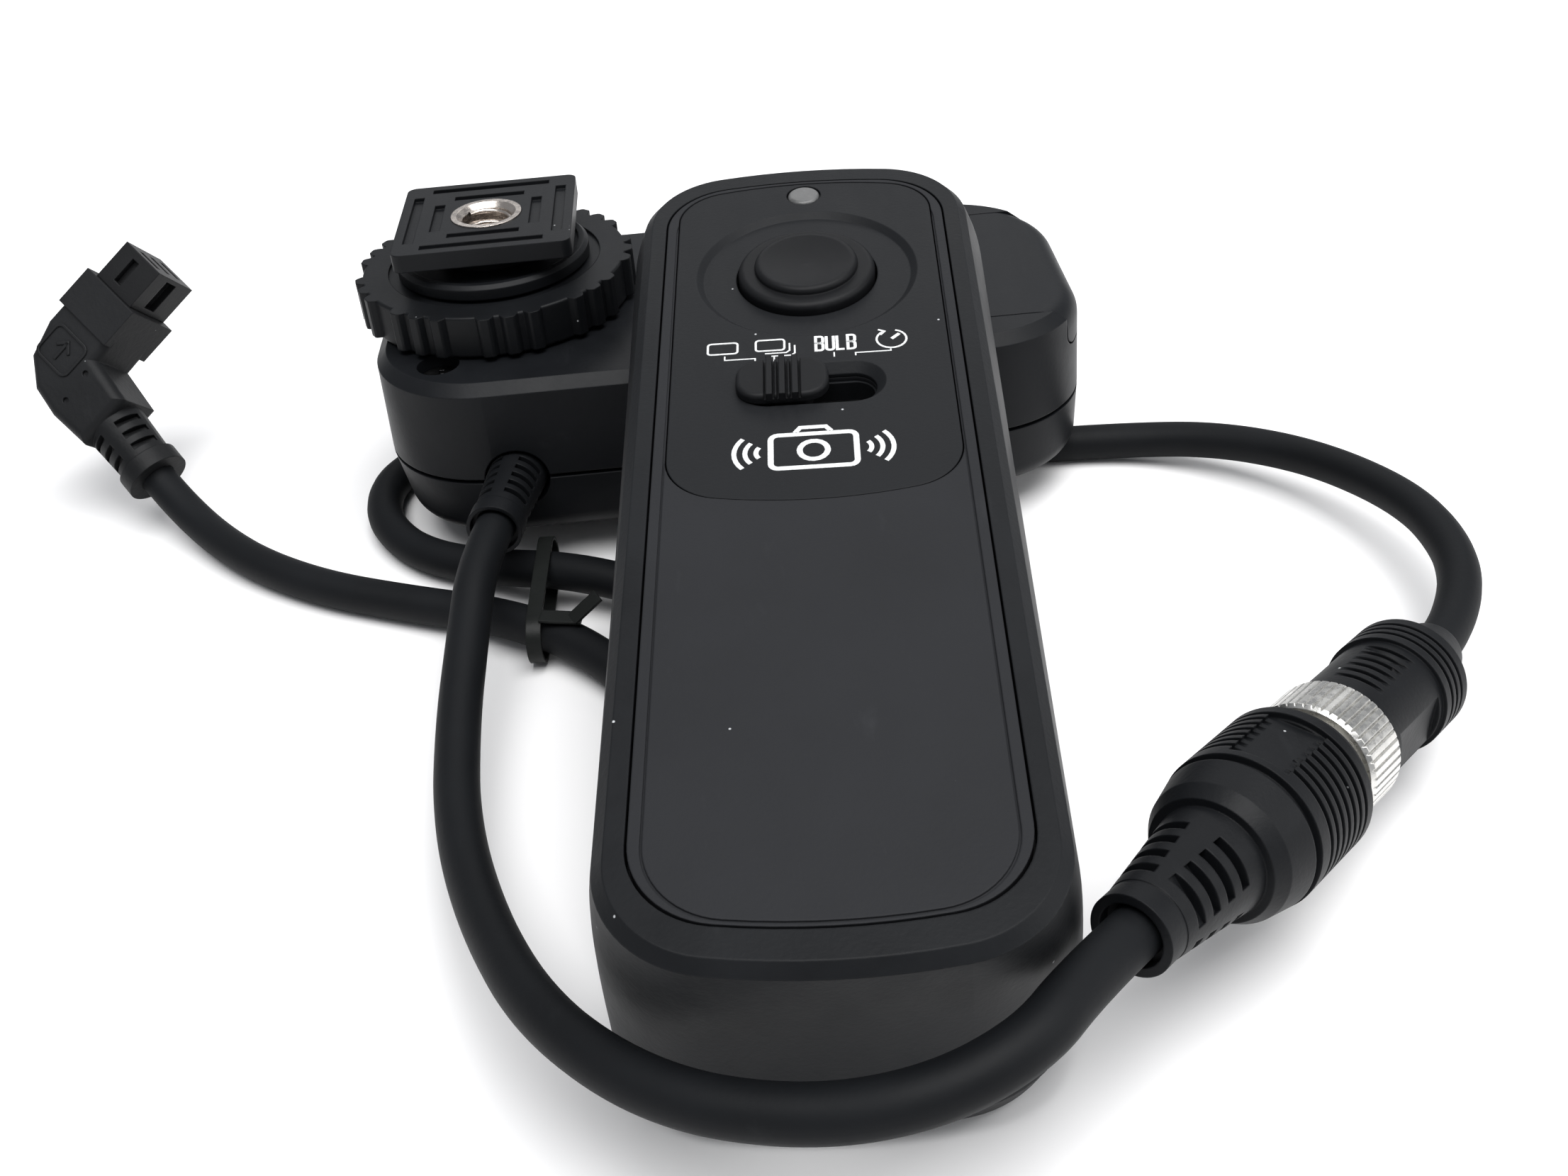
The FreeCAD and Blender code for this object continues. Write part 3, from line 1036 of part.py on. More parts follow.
# ---------------------------------------------------------------- cords
RECEIVER_CORD_ROUTE = [
    (-25.2, 6.6, 11.4), (-25.7, -2.4, 9.3), (-25.9, -12.9, 8.0), (-25.0, -25.4, 7.6),
    (-21.6, -37.9, 8.7), (-16.4, -49.7, 11.1), (-8.4, -58.5, 13.0), (0.8, -62.3, 14.2),
    (8.8, -62.9, 15.7), (15.3, -60.5, 16.8),
]
ADAPTER_CORD_ROUTE = [
    (66.3, -4.7, 7.2), (67.2, 4.3, 6.9), (65.6, 12.7, 6.0), (60.6, 21.9, 4.9), (52.8, 29.1, 3.6),
    (43.6, 33.1, 2.1), (32.0, 34.0, 1.97), (18.0, 35.1, 1.97), (3.0, 37.9, 1.97), (-11.5, 42.5, 1.97),
    (-23.5, 46.3, 1.97), (-33.0, 46.5, 1.97), (-39.4, 40.7, 1.97), (-39.6, 31.9, 1.97),
    (-34.6, 24.0, 1.97), (-26.6, 18.7, 2.9), (-17.6, 14.7, 4.3), (-8.6, 9.9, 4.0), (1.2, 6.7, 2.6),
    (10.4, 1.9, 1.97), (14.6, -6.5, 1.97), (11.2, -15.5, 1.97), (2.2, -18.7, 1.97), (-6.0, -13.9, 1.97),
    (-9.6, -5.1, 2.2), (-15.6, 3.5, 2.8), (-24.2, 9.9, 2.7), (-34.6, 14.7, 2.1), (-44.6, 19.5, 1.97),
    (-53.6, 26.3, 2.1),
]


def cord_path(points):
    """Straight runs joined by tangent arcs, each as large as its two runs allow."""
    runs = [(points[i + 1] - points[i]).Length for i in range(len(points) - 1)]
    edges = []
    radii = []
    start = points[0]
    for index in range(1, len(points) - 1):
        into = (points[index] - points[index - 1]).normalize()
        out = (points[index + 1] - points[index]).normalize()
        turn = into.getAngle(out)
        reach = 0.45 * min(runs[index - 1], runs[index])
        radius = reach / math.tan(0.5 * turn)
        radii.append(round(radius, 1))
        first = points[index] - into * reach
        last = points[index] + out * reach
        inward = (out - into).normalize()
        centre = points[index] + inward * math.hypot(radius, reach)
        middle = centre - inward * radius
        edges.append(Part.LineSegment(start, first).toShape())
        edges.append(Part.Arc(first, middle, last).toShape())
        start = last
    edges.append(Part.LineSegment(start, points[-1]).toShape())
    return Part.Wire(edges), radii


def cord(label, points):
    """Plain round tube along a route."""
    path, radii = cord_path(points)
    radius = D["cord_radius"]
    way = points[1] - points[0]
    profile = Part.Wire([Part.Circle(points[0], way, radius).toShape()])
    solid = path.makePipeShell([profile], True, False)
    ratio = solid.Volume / (math.pi * radius ** 2 * path.Length)
    print(label, "length", round(path.Length, 1), "volume ratio", round(ratio, 4), "radii", radii)
    if abs(ratio - 1) > 0.01:
        raise RuntimeError("cord volume is off: " + label)
    item = DOC.addObject("Part::Feature", label)
    item.Shape = solid
    return keep(item, label)


def receiver_cord():
    """Cord from the receiver's relief to the socket half of the connector."""
    start = relief_mouth()
    finish = JOINT.multVec(V(D["mouth_depth"], 0, 0))
    lead = JOINT.multVec(V(-6.0, 0, 0))
    route = [start] + [V(*point) for point in RECEIVER_CORD_ROUTE] + [lead, finish]
    return cord("receiver_cord", route)


def adapter_cord():
    """Cord from the plug half of the connector to the camera plug."""
    start = JOINT.multVec(V(50.2, 0, 0))
    lead = JOINT.multVec(V(54.6, 0, 0))
    plug = plug_placement()
    way = V(-0.09, -1, 0)
    way.normalize()
    mouth = V(-1.5, -9.2, 0) + way * 8.2
    finish = plug.multVec(mouth)
    tail = plug.multVec(mouth + way * 5.6)
    route = [start, lead] + [V(*point) for point in ADAPTER_CORD_ROUTE] + [tail, finish]
    return cord("adapter_cord", route)


TIE_FRONT = V(-20.6, 7.13, 2.85)
TIE_REAR = V(-20.0, 15.83, 3.86)


def twist_tie():
    """Flat strip bent in a loose loop round two strands of the adapter cord, its end folded over in front."""
    across = TIE_REAR - TIE_FRONT
    width, thick, end_room = 1.5, 0.3, 3.5
    inside = D["cord_radius"] + 0.35
    outside = inside + thick
    body = new_body("twist_tie")
    outer = rounded_sketch(body, "tie_outer", "%.2f" % (-end_room - thick),
                           "%.2f" % (across.Length + end_room + thick), "%.2f" % -outside, "%.2f" % outside,
                           "%.2f" % (outside - 0.01), "%.2f" % (-0.5 * width))
    pad(body, outer, "%.2f" % width)
    inner = rounded_sketch(body, "tie_inner", "%.2f" % -end_room, "%.2f" % (across.Length + end_room),
                           "%.2f" % -inside, "%.2f" % inside, "%.2f" % (inside - 0.01), "%.2f" % (0.5 * width))
    pocket(body, inner, "%.2f" % width)
    lean = FreeCAD.Rotation(V(0, 1, 0), -8)
    tail = box("tie_tail", 1.6, thick, 4.2, V(-2.0, inside + 0.22, 0.5 * width - 0.2), lean)
    spin = FreeCAD.Rotation(V(0, 1, 0), 30).multiply(FreeCAD.Rotation(V(1, 0, 0), -28))
    fold = box("tie_fold", 1.6, thick, 3.4, V(-2.6, inside + 0.3, 0.5 * width + 3.6), spin)
    stand = FreeCAD.Rotation(across, V(0, 0, 1), V(1, 0, 0), "XZY")
    return keep(fuse("tie_all", [body, tail, fold]), "twist_tie", FreeCAD.Placement(TIE_FRONT, stand))


# ---------------------------------------------------------------- build and write
def build_all():
    """Make every sub-part."""
    for make in (receiver_body_shell, receiver_base_shell, receiver_battery_door, receiver_battery_tray,
                 receiver_power, receiver_board, receiver_aerial, receiver_screws, shoe_foot, tripod_insert, lock_wheel,
                 pressure_disc, receiver_cable_relief, handset_top_shell, handset_base, handset_battery_door,
                 face_plate, control_panel, shutter_button, mode_knob, status_lamp, handset_inside,
                 handset_screws, connector_socket_body, connector_socket_insert, coupling_ring,
                 connector_plug_body, connector_pins, camera_plug_body, camera_plug_tip, camera_plug_contacts,
                 receiver_cord, adapter_cord, twist_tie):
        make()
    DOC.recompute()


def write_all():
    """Check each object and shape, then write one STEP file per sub-part."""
    for item in DOC.Objects:
        for state in item.State:
            if state in ("Invalid", "Error"):
                raise RuntimeError("%s is %s" % (item.Name, state))
    labels = [item.Label for item in SUBPARTS]
    if len(set(labels)) != len(labels):
        raise RuntimeError("labels repeat")
    for item in SUBPARTS:
        shape = item.Shape
        if shape.isNull() or not shape.isValid():
            raise RuntimeError("bad shape: " + item.Label)
    os.makedirs("parts", exist_ok=True)
    for item in SUBPARTS:
        item.Shape.exportStep("parts/%s.step" % item.Label)


build_all()
write_all()
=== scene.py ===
import math
import bmesh
import bpy
from mathutils import Matrix, Vector


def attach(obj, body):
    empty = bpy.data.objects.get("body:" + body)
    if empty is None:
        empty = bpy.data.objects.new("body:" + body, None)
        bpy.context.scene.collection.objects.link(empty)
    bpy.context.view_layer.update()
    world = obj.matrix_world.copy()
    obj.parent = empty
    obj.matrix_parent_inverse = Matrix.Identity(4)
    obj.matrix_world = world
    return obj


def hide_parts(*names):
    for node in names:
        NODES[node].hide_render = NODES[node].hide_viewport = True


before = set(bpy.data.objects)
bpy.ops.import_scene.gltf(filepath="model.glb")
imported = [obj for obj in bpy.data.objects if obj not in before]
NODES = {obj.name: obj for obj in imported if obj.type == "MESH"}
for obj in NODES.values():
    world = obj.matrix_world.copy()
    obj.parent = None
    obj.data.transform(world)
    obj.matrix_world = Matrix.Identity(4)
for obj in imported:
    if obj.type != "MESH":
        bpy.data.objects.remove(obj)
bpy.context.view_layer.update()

# Looks of a radio and cable shutter release: box with a shoe foot, hand transmitter, two cords and
# their connectors.  Lengths are metres, and MM turns millimetres into metres.
MM = 0.001
FLAT_ANGLE = 28.0
INK_SINK = -0.045
INK_HEIGHT = 0.03

HANDSET = Matrix.Translation(Vector((8.6, 15.23, 34.45)) * MM) @ (
    Matrix.Rotation(math.radians(-3.9), 4, "Z") @ Matrix.Rotation(math.radians(8.7), 4, "X"))
JOINT = Matrix.Translation(Vector((23.55, -51.47, 15.45)) * MM) @ (
    Matrix.Rotation(math.radians(45.2), 4, "Z") @ Matrix.Rotation(math.radians(8.7), 4, "Y"))
PLUG_TIP = Vector((0.7467, 0.3405, 0.5714)).normalized()
PLUG_FACE = Vector((-0.16, -0.74, 0.65))
PLUG_SIDE = PLUG_FACE.cross(PLUG_TIP).normalized()
PLUG = Matrix.Translation(Vector((-74.2, 49.43, 16.0)) * MM) @ Matrix(
    (PLUG_TIP, PLUG_SIDE, PLUG_TIP.cross(PLUG_SIDE))).transposed().to_4x4()
FOOT = Matrix.Translation(Vector((-23.5, 42.73, 0)) * MM)


# ---------------------------------------------------------------- materials
class Nodes:
    """Short way to add and link shader nodes."""

    def __init__(self, name):
        self.material = bpy.data.materials.new(name)
        self.material.use_nodes = True
        self.tree = self.material.node_tree
        self.shader = self.tree.nodes["Principled BSDF"]
        self.where = self.add("ShaderNodeTexCoord").outputs["Object"]

    def add(self, kind, **values):
        node = self.tree.nodes.new(kind)
        for key, value in values.items():
            setattr(node, key, value)
        return node

    def link(self, source, target):
        self.tree.links.new(source, target)

    def noise(self, scale, detail=3.0, rough=0.55, stretch=None):
        node = self.add("ShaderNodeTexNoise")
        node.inputs["Scale"].default_value = scale
        node.inputs["Detail"].default_value = detail
        node.inputs["Roughness"].default_value = rough
        source = self.where
        if stretch:
            mapping = self.add("ShaderNodeMapping")
            mapping.inputs["Scale"].default_value = stretch
            self.link(source, mapping.inputs["Vector"])
            source = mapping.outputs["Vector"]
        self.link(source, node.inputs["Vector"])
        return node.outputs["Fac"]

    def ramp(self, source, low, high, first, last):
        """Map source between low and high to first and last."""
        node = self.add("ShaderNodeMapRange")
        for socket, value in zip(("From Min", "From Max", "To Min", "To Max"), (low, high, first, last)):
            node.inputs[socket].default_value = value
        self.link(source, node.inputs["Value"])
        return node.outputs["Result"]

    def mix(self, factor, first, last):
        """Mix of two colours, each a tuple or a socket."""
        node = self.add("ShaderNodeMix", data_type="RGBA")
        self.link(factor, node.inputs["Factor"])
        for value, socket in ((first, node.inputs["A"]), (last, node.inputs["B"])):
            if isinstance(value, tuple):
                socket.default_value = value + (1.0,)
            else:
                self.link(value, socket)
        return node.outputs["Result"]

    def add_up(self, first, last, weight):
        node = self.add("ShaderNodeMath", operation="MULTIPLY_ADD")
        self.link(last, node.inputs[0])
        node.inputs[1].default_value = weight
        self.link(first, node.inputs[2])
        return node.outputs[0]

    def specks(self, scale, size, share):
        """Scattered round specks: 1 inside a speck, 0 elsewhere."""
        cells = self.add("ShaderNodeTexVoronoi")
        cells.inputs["Scale"].default_value = scale
        self.link(self.where, cells.inputs["Vector"])
        near = self.ramp(cells.outputs["Distance"], size, size * 0.5, 0.0, 1.0)
        pick = self.add("ShaderNodeSeparateColor")
        self.link(cells.outputs["Color"], pick.inputs["Color"])
        chosen = self.add("ShaderNodeMath", operation="LESS_THAN")
        self.link(pick.outputs["Red"], chosen.inputs[0])
        chosen.inputs[1].default_value = share
        both = self.add("ShaderNodeMath", operation="MULTIPLY")
        self.link(near, both.inputs[0])
        self.link(chosen.outputs[0], both.inputs[1])
        return both.outputs[0]

    def bump(self, height, distance, strength=1.0, soft_edge=None):
        node = self.add("ShaderNodeBump")
        node.inputs["Distance"].default_value = distance
        node.inputs["Strength"].default_value = strength
        self.link(height, node.inputs["Height"])
        if soft_edge:
            edge = self.add("ShaderNodeBevel", samples=6)
            edge.inputs["Radius"].default_value = soft_edge
            self.link(edge.outputs["Normal"], node.inputs["Normal"])
        self.link(node.outputs["Normal"], self.shader.inputs["Normal"])


def moulded(name, colour, rough, grain=2600.0, depth=0.02, blotch=0.25, dust=0.0, specular=0.13,
            soft_edge=0.00018):
    """Moulded plastic or rubber: fine grain, uneven colour and gloss, faint scuffs and specks of dust."""
    n = Nodes(name)
    fine = n.noise(grain, 2.0, 0.6)
    broad = n.noise(70.0, 4.0, 0.6)
    scuff = n.noise(260.0, 5.0, 0.7, (1.0, 0.25, 1.0))
    dark = tuple(channel * (1 - blotch) for channel in colour)
    light = tuple(channel * (1 + blotch) for channel in colour)
    tint = n.mix(n.ramp(broad, 0.3, 0.7, 0.0, 1.0), dark, light)
    worn = tuple(channel * 1.5 + 0.004 for channel in colour)
    tint = n.mix(n.ramp(scuff, 0.62, 0.78, 0.0, 0.5), tint, worn)
    if dust:
        tint = n.mix(n.specks(620.0, 0.085, dust), tint, (0.42, 0.43, 0.44))
    n.link(tint, n.shader.inputs["Base Color"])
    gloss = n.ramp(n.add_up(broad, scuff, 0.6), 0.5, 1.1, rough - 0.06, rough + 0.08)
    n.link(gloss, n.shader.inputs["Roughness"])
    n.shader.inputs["Specular IOR Level"].default_value = specular
    n.bump(n.add_up(fine, scuff, 0.25), depth * MM, 1.0, soft_edge)
    return n.material


def metal(name, colour, rough, brushed=(1.0, 1.0, 1.0), grain=900.0, stain=0.35, soft_edge=0.00012):
    """Plated or turned metal with fine marks and uneven brightness."""
    n = Nodes(name)
    marks = n.noise(grain, 3.0, 0.6, brushed)
    broad = n.noise(240.0, 4.0, 0.6)
    dark = tuple(channel * (1 - stain) for channel in colour)
    n.link(n.mix(n.ramp(broad, 0.35, 0.7, 0.0, 1.0), dark, colour), n.shader.inputs["Base Color"])
    n.link(n.ramp(marks, 0.3, 0.7, rough - 0.07, rough + 0.12), n.shader.inputs["Roughness"])
    n.shader.inputs["Metallic"].default_value = 1.0
    n.bump(marks, 0.006 * MM, 1.0, soft_edge)
    return n.material


def printed(name, colour):
    """Printed ink: slightly uneven, with tiny gaps."""
    n = Nodes(name)
    gaps = n.noise(5200.0, 3.0, 0.6)
    weak = tuple(channel * 0.72 for channel in colour)
    n.link(n.mix(n.ramp(gaps, 0.36, 0.52, 0.0, 1.0), weak, colour), n.shader.inputs["Base Color"])
    n.link(n.ramp(gaps, 0.3, 0.7, 0.45, 0.6), n.shader.inputs["Roughness"])
    n.bump(gaps, 0.004 * MM)
    return n.material


def lens(name):
    """Frosted lamp window, milky grey and brighter where the frost is thick."""
    n = Nodes(name)
    frost = n.noise(1500.0, 4.0, 0.7)
    n.link(n.mix(n.ramp(frost, 0.35, 0.7, 0.0, 1.0), (0.062, 0.063, 0.063), (0.1, 0.1, 0.1)),
           n.shader.inputs["Base Color"])
    n.link(n.ramp(frost, 0.3, 0.7, 0.28, 0.5), n.shader.inputs["Roughness"])
    n.shader.inputs["Subsurface Weight"].default_value = 0.1
    n.shader.inputs["Subsurface Radius"].default_value = (0.0006, 0.0006, 0.0006)
    n.bump(frost, 0.01 * MM, 1.0, 0.0002)
    return n.material


def table_top(name):
    """Pale matt studio surface with very faint unevenness."""
    n = Nodes(name)
    broad = n.noise(6.0, 3.0, 0.5)
    fine = n.noise(700.0, 3.0, 0.6)
    n.link(n.mix(n.ramp(broad, 0.3, 0.7, 0.0, 1.0), (0.79, 0.785, 0.785), (0.83, 0.825, 0.825)),
           n.shader.inputs["Base Color"])
    n.link(n.ramp(fine, 0.3, 0.7, 0.5, 0.62), n.shader.inputs["Roughness"])
    n.bump(fine, 0.01 * MM, 0.6)
    return n.material


MATERIALS = {
    "box": moulded("box_plastic", (0.0058, 0.0064, 0.0076), 0.42, 1900.0, 0.012, dust=0.05),
    "wheel": moulded("wheel_plastic", (0.0052, 0.0057, 0.0066), 0.42, 2200.0, 0.01, dust=0.06),
    "foot": moulded("foot_plastic", (0.0062, 0.0067, 0.0077), 0.4, 2600.0, 0.012, dust=0.06),
    "shell": moulded("shell_plastic", (0.006, 0.0066, 0.0077), 0.46, 2400.0, 0.016, dust=0.05),
    "face": moulded("face_soft", (0.0128, 0.0134, 0.0152), 0.56, 3200.0, 0.014, 0.1, dust=0.035),
    "panel": moulded("panel_plastic", (0.0075, 0.0081, 0.0093), 0.5, 3000.0, 0.014, 0.1, dust=0.05),
    "button": moulded("button_plastic", (0.0052, 0.0055, 0.0063), 0.48, 2600.0, 0.006, 0.15, dust=0.03),
    "cord": moulded("cord_sleeve", (0.0044, 0.005, 0.006), 0.6, 1500.0, 0.014, 0.2, soft_edge=None),
    "rubber": moulded("relief_rubber", (0.0052, 0.0057, 0.0067), 0.48, 2400.0, 0.02, 0.2, dust=0.05),
    "plug": moulded("plug_rubber", (0.0085, 0.0089, 0.0097), 0.5, 1700.0, 0.03, 0.25, dust=0.06),
    "tip": moulded("tip_plastic", (0.007, 0.0072, 0.0078), 0.4, 2600.0, 0.012, dust=0.03),
    "tie": moulded("tie_strip", (0.009, 0.01, 0.0095), 0.38, 1800.0, 0.02, 0.3),
    "mark": moulded("raised_mark", (0.009, 0.0093, 0.01), 0.4, 2400.0, 0.012),
    "board": moulded("board_lacquer", (0.01, 0.07, 0.03), 0.35, 2000.0, 0.01),
    "cell": moulded("cell_sleeve", (0.05, 0.09, 0.2), 0.35, 900.0, 0.01),
    "nickel": metal("nickel_plate", (0.72, 0.71, 0.68), 0.26, (1.0, 1.0, 1.0), 1400.0, 0.2),
    "bush": metal("bush_nickel", (0.66, 0.6, 0.55), 0.24, (1.0, 1.0, 3.0), 1600.0, 0.35),
    "steel": metal("zinc_steel", (0.35, 0.35, 0.36), 0.36, (1.0, 4.0, 1.0)),
    "brass": metal("contact_brass", (0.6, 0.42, 0.18), 0.3),
    "black_steel": metal("blackened_steel", (0.05, 0.05, 0.052), 0.4),
    "ink": printed("white_ink", (0.62, 0.63, 0.63)),
    "lamp": lens("lamp_frost"),
    "table": table_top("table_top"),
}

NODE_FINISH = {
    "box": ["receiver_body_shell", "receiver_base_shell", "receiver_battery_door", "receiver_battery_tray"],
    "wheel": ["lock_wheel", "pressure_disc"],
    "foot": ["shoe_foot"],
    "shell": ["handset_top_shell", "handset_base", "handset_battery_door"],
    "face": ["face_plate"],
    "panel": ["control_panel"],
    "button": ["shutter_button", "mode_knob"],
    "rubber": ["receiver_cable_relief", "connector_socket_body", "connector_plug_body"],
    "plug": ["camera_plug_body"],
    "tip": ["camera_plug_tip"],
    "tie": ["twist_tie"],
    "board": ["receiver_board", "handset_board"],
    "cell": ["receiver_cell_front", "receiver_cell_rear", "handset_cell_left", "handset_cell_right"],
    "nickel": ["coupling_ring", "connector_socket_insert"],
    "bush": ["tripod_insert"],
    "steel": ["receiver_contacts", "handset_contacts", "shutter_switch", "slide_switch", "button_spring"],
    "brass": ["connector_pins", "camera_plug_contacts", "receiver_aerial"],
    "black_steel": ["receiver_screw_front", "receiver_screw_rear", "handset_screw_left", "handset_screw_right"],
    "lamp": ["status_lamp"],
    "cord": ["receiver_cord", "adapter_cord"],
}


def dress_nodes():
    """Give every CAD node its material and smooth its round faces."""
    for finish, names in NODE_FINISH.items():
        for name in names:
            mesh = NODES[name].data
            mesh.materials.clear()
            mesh.materials.append(MATERIALS[finish])
            for face in mesh.polygons:
                face.material_index = 0
                face.use_smooth = True
            mesh.set_sharp_from_angle(angle=math.radians(FLAT_ANGLE))


# ---------------------------------------------------------------- building pieces
def add_mesh(name, mesh_data, finish, body):
    """Object from a bmesh, with its material and body."""
    mesh = bpy.data.meshes.new(name)
    mesh_data.to_mesh(mesh)
    mesh_data.free()
    piece = bpy.data.objects.new(name, mesh)
    bpy.context.scene.collection.objects.link(piece)
    mesh.materials.append(MATERIALS[finish])
    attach(piece, body)
    return piece


def ribbon(mesh_data, stand, points, width, height, closed=False):
    """Flat raised line through 2-D points, mitred at its corners, standing on a local plane."""
    count = len(points)
    flat = [Vector(p) for p in points]
    sections = []
    for index, point in enumerate(flat):
        before = flat[index - 1] if (index or closed) else None
        after = flat[(index + 1) % count] if (index < count - 1 or closed) else None
        into = (point - before).normalized() if before is not None else (after - point).normalized()
        out = (after - point).normalized() if after is not None else into
        side = (Vector((-into.y, into.x)) + Vector((-out.y, out.x))).normalized()
        stretch = min(2.0, 1.0 / max(0.3, side.dot(Vector((-into.y, into.x)))))
        offset = side * (0.5 * width * stretch)
        corners = [(point + offset, 0.0), (point + offset * 0.86, height), (point - offset * 0.86, height),
                   (point - offset, 0.0)]
        sections.append([mesh_data.verts.new(stand @ (Vector((p.x, p.y, z)) * MM)) for p, z in corners])
    for index in range(count if closed else count - 1):
        first, second = sections[index], sections[(index + 1) % count]
        for side in range(4):
            ring = (first[side], first[(side + 1) % 4], second[(side + 1) % 4], second[side])
            mesh_data.faces.new(ring)
    if not closed:
        mesh_data.faces.new(sections[0])
        mesh_data.faces.new(list(reversed(sections[-1])))


def arc(cx, cy, radius, first, last, steps=10):
    """Points along an arc, angles in degrees."""
    angles = [math.radians(first + (last - first) * index / steps) for index in range(steps + 1)]
    return [(cx + radius * math.cos(a), cy + radius * math.sin(a)) for a in angles]


def round_box(cx, cy, half_w, half_h, corner):
    """Closed outline of a rounded rectangle."""
    points = []
    for turn, (sx, sy) in enumerate(((1, 1), (-1, 1), (-1, -1), (1, -1))):
        centre = (cx + sx * (half_w - corner), cy + sy * (half_h - corner))
        points += arc(centre[0], centre[1], corner, 90 * turn, 90 * turn + 90, 4)
    return points


def print_lines(name, stand, lines, body, height=0.02, finish="ink"):
    """One piece from several (points, width, closed) lines."""
    shape = bmesh.new()
    for points, width, closed in lines:
        ribbon(shape, stand, points, width, height, closed)
    bmesh.ops.recalc_face_normals(shape, faces=shape.faces)
    return add_mesh(name, shape, finish, body)


def letter_lines(cx, base, tall, wide, word_step):
    """Strokes of the word for a held shutter, in plain block capitals."""
    stroke = 0.28
    top, mid = base + tall, base + 0.52 * tall
    lines = []
    for index, letter in enumerate("BULB"):
        left = cx + word_step * (index - 1.5) - 0.5 * wide
        right = left + wide
        r = 0.42 * wide
        if letter == "B":
            upper = [(left, mid), (left, top), (right - r, top)] + arc(right - r, top - r, r, 90, 0, 4)[1:]
            upper += arc(right - r, mid + r, r, 0, -90, 4) + [(left, mid)]
            lower = [(left, base), (left, mid), (right - r, mid)] + arc(right - r, mid - r, r, 90, 0, 4)[1:]
            lower += arc(right - r, base + r, r, 0, -90, 4) + [(left, base)]
            lines += [(upper[:-1], stroke, True), (lower[:-1], stroke, True)]
        elif letter == "U":
            cup = [(left, top)] + arc(left + r, base + r, r, 180, 270, 4)
            cup += arc(right - r, base + r, r, 270, 360, 4) + [(right, top)]
            lines.append((cup, stroke, False))
        else:
            lines.append(([(left, top), (left, base), (right, base)], stroke, False))
    return lines


def mode_marks():
    """Mode symbols above the slider, with the leader lines down to its four places."""
    thin = 0.2
    lines = [(round_box(-7.6, -11.35, 1.3, 0.78, 0.3), thin, True)]
    lines.append((round_box(-3.45, -11.25, 1.25, 0.78, 0.3), thin, True))
    for step in (1, 2):
        # each sheet behind the first peeks out further to the right and below
        right, low = -2.2 + 0.45 * step, -12.03 - 0.42 * step
        edge = [(right, -10.75 - 0.35 * step), (right, low + 0.3), (right - 0.3, low), (right - 2.15, low)]
        lines.append((edge, 0.16, False))
    lines += letter_lines(2.25, -12.45, 2.0, 0.62, 0.93)
    lines.append((arc(7.15, -11.4, 1.3, 122, 432, 20), thin, False))
    lines.append(([(7.15, -11.4), (7.85, -10.7)], 0.34, False))
    lines.append(([(6.2, -10.75), (6.6, -10.25), (6.05, -9.95)], 0.2, False))
    lines.append(([(-7.4, -12.5), (-7.4, -13.05), (-4.75, -13.05), (-4.75, -13.6)], 0.14, False))
    lines.append(([(-3.1, -12.95), (-3.1, -13.6)], 0.14, False))
    lines.append(([(2.1, -12.85), (2.1, -13.5)], 0.14, False))
    lines.append(([(7.0, -12.85), (7.0, -13.1), (3.95, -13.1), (3.95, -13.5)], 0.14, False))
    return print_lines("mode_marks", HANDSET @ Matrix.Translation((0, 0, INK_SINK * MM)), lines, "handset",
                       INK_HEIGHT)


def radio_pictogram():
    """Plain camera outline with waves, where the transmitter's front is printed in white."""
    lines = [(round_box(0.0, -25.9, 3.5, 2.1, 0.6), 0.5, True),
             (arc(0.0, -25.9, 1.15, 0, 350, 18), 0.5, True),
             ([(-1.5, -23.6), (-1.05, -22.95), (1.05, -22.95), (1.5, -23.6)], 0.45, False)]
    for reach in (1.0, 1.9, 2.8):
        for side in (0, 180):
            centre = 3.7 if side == 0 else -3.7
            lines.append((arc(centre, -25.9, reach, side - 42, side + 42, 8), 0.42, False))
    return print_lines("radio_pictogram", HANDSET @ Matrix.Translation((0, 0, INK_SINK * MM)), lines, "handset",
                       INK_HEIGHT)


def plug_mark():
    """Raised rounded square with a plain arrow on the face of the camera plug."""
    stand = PLUG @ Matrix.Translation((0, 0, 3.86 * MM))
    lines = [(round_box(1.2, -0.5, 2.1, 2.45, 0.8), 0.36, True),
             ([(-0.1, -0.5), (2.3, -0.5)], 0.4, False),
             ([(1.3, 0.5), (2.3, -0.5), (1.3, -1.5)], 0.4, False)]
    return print_lines("plug_mark", stand, lines, "receiver", 0.22, "mark")


def grip_marks():
    """Raised arrow-heads on the flats of the two connector halves, which show how they join."""
    side = Matrix.Rotation(math.radians(30), 4, "X")
    for name, place, way, lift in (("socket_arrow", 19.6, 1, 5.5), ("plughalf_arrow", 36.2, -1, 4.25)):
        stand = JOINT @ side @ Matrix.Translation((place * MM, 0, lift * MM))
        lines = [([(-way * 1.1, 1.1), (way * 1.1, 0.0), (-way * 1.1, -1.1)], 0.4, True)]
        print_lines(name, stand, lines, "receiver", 0.3, "mark")


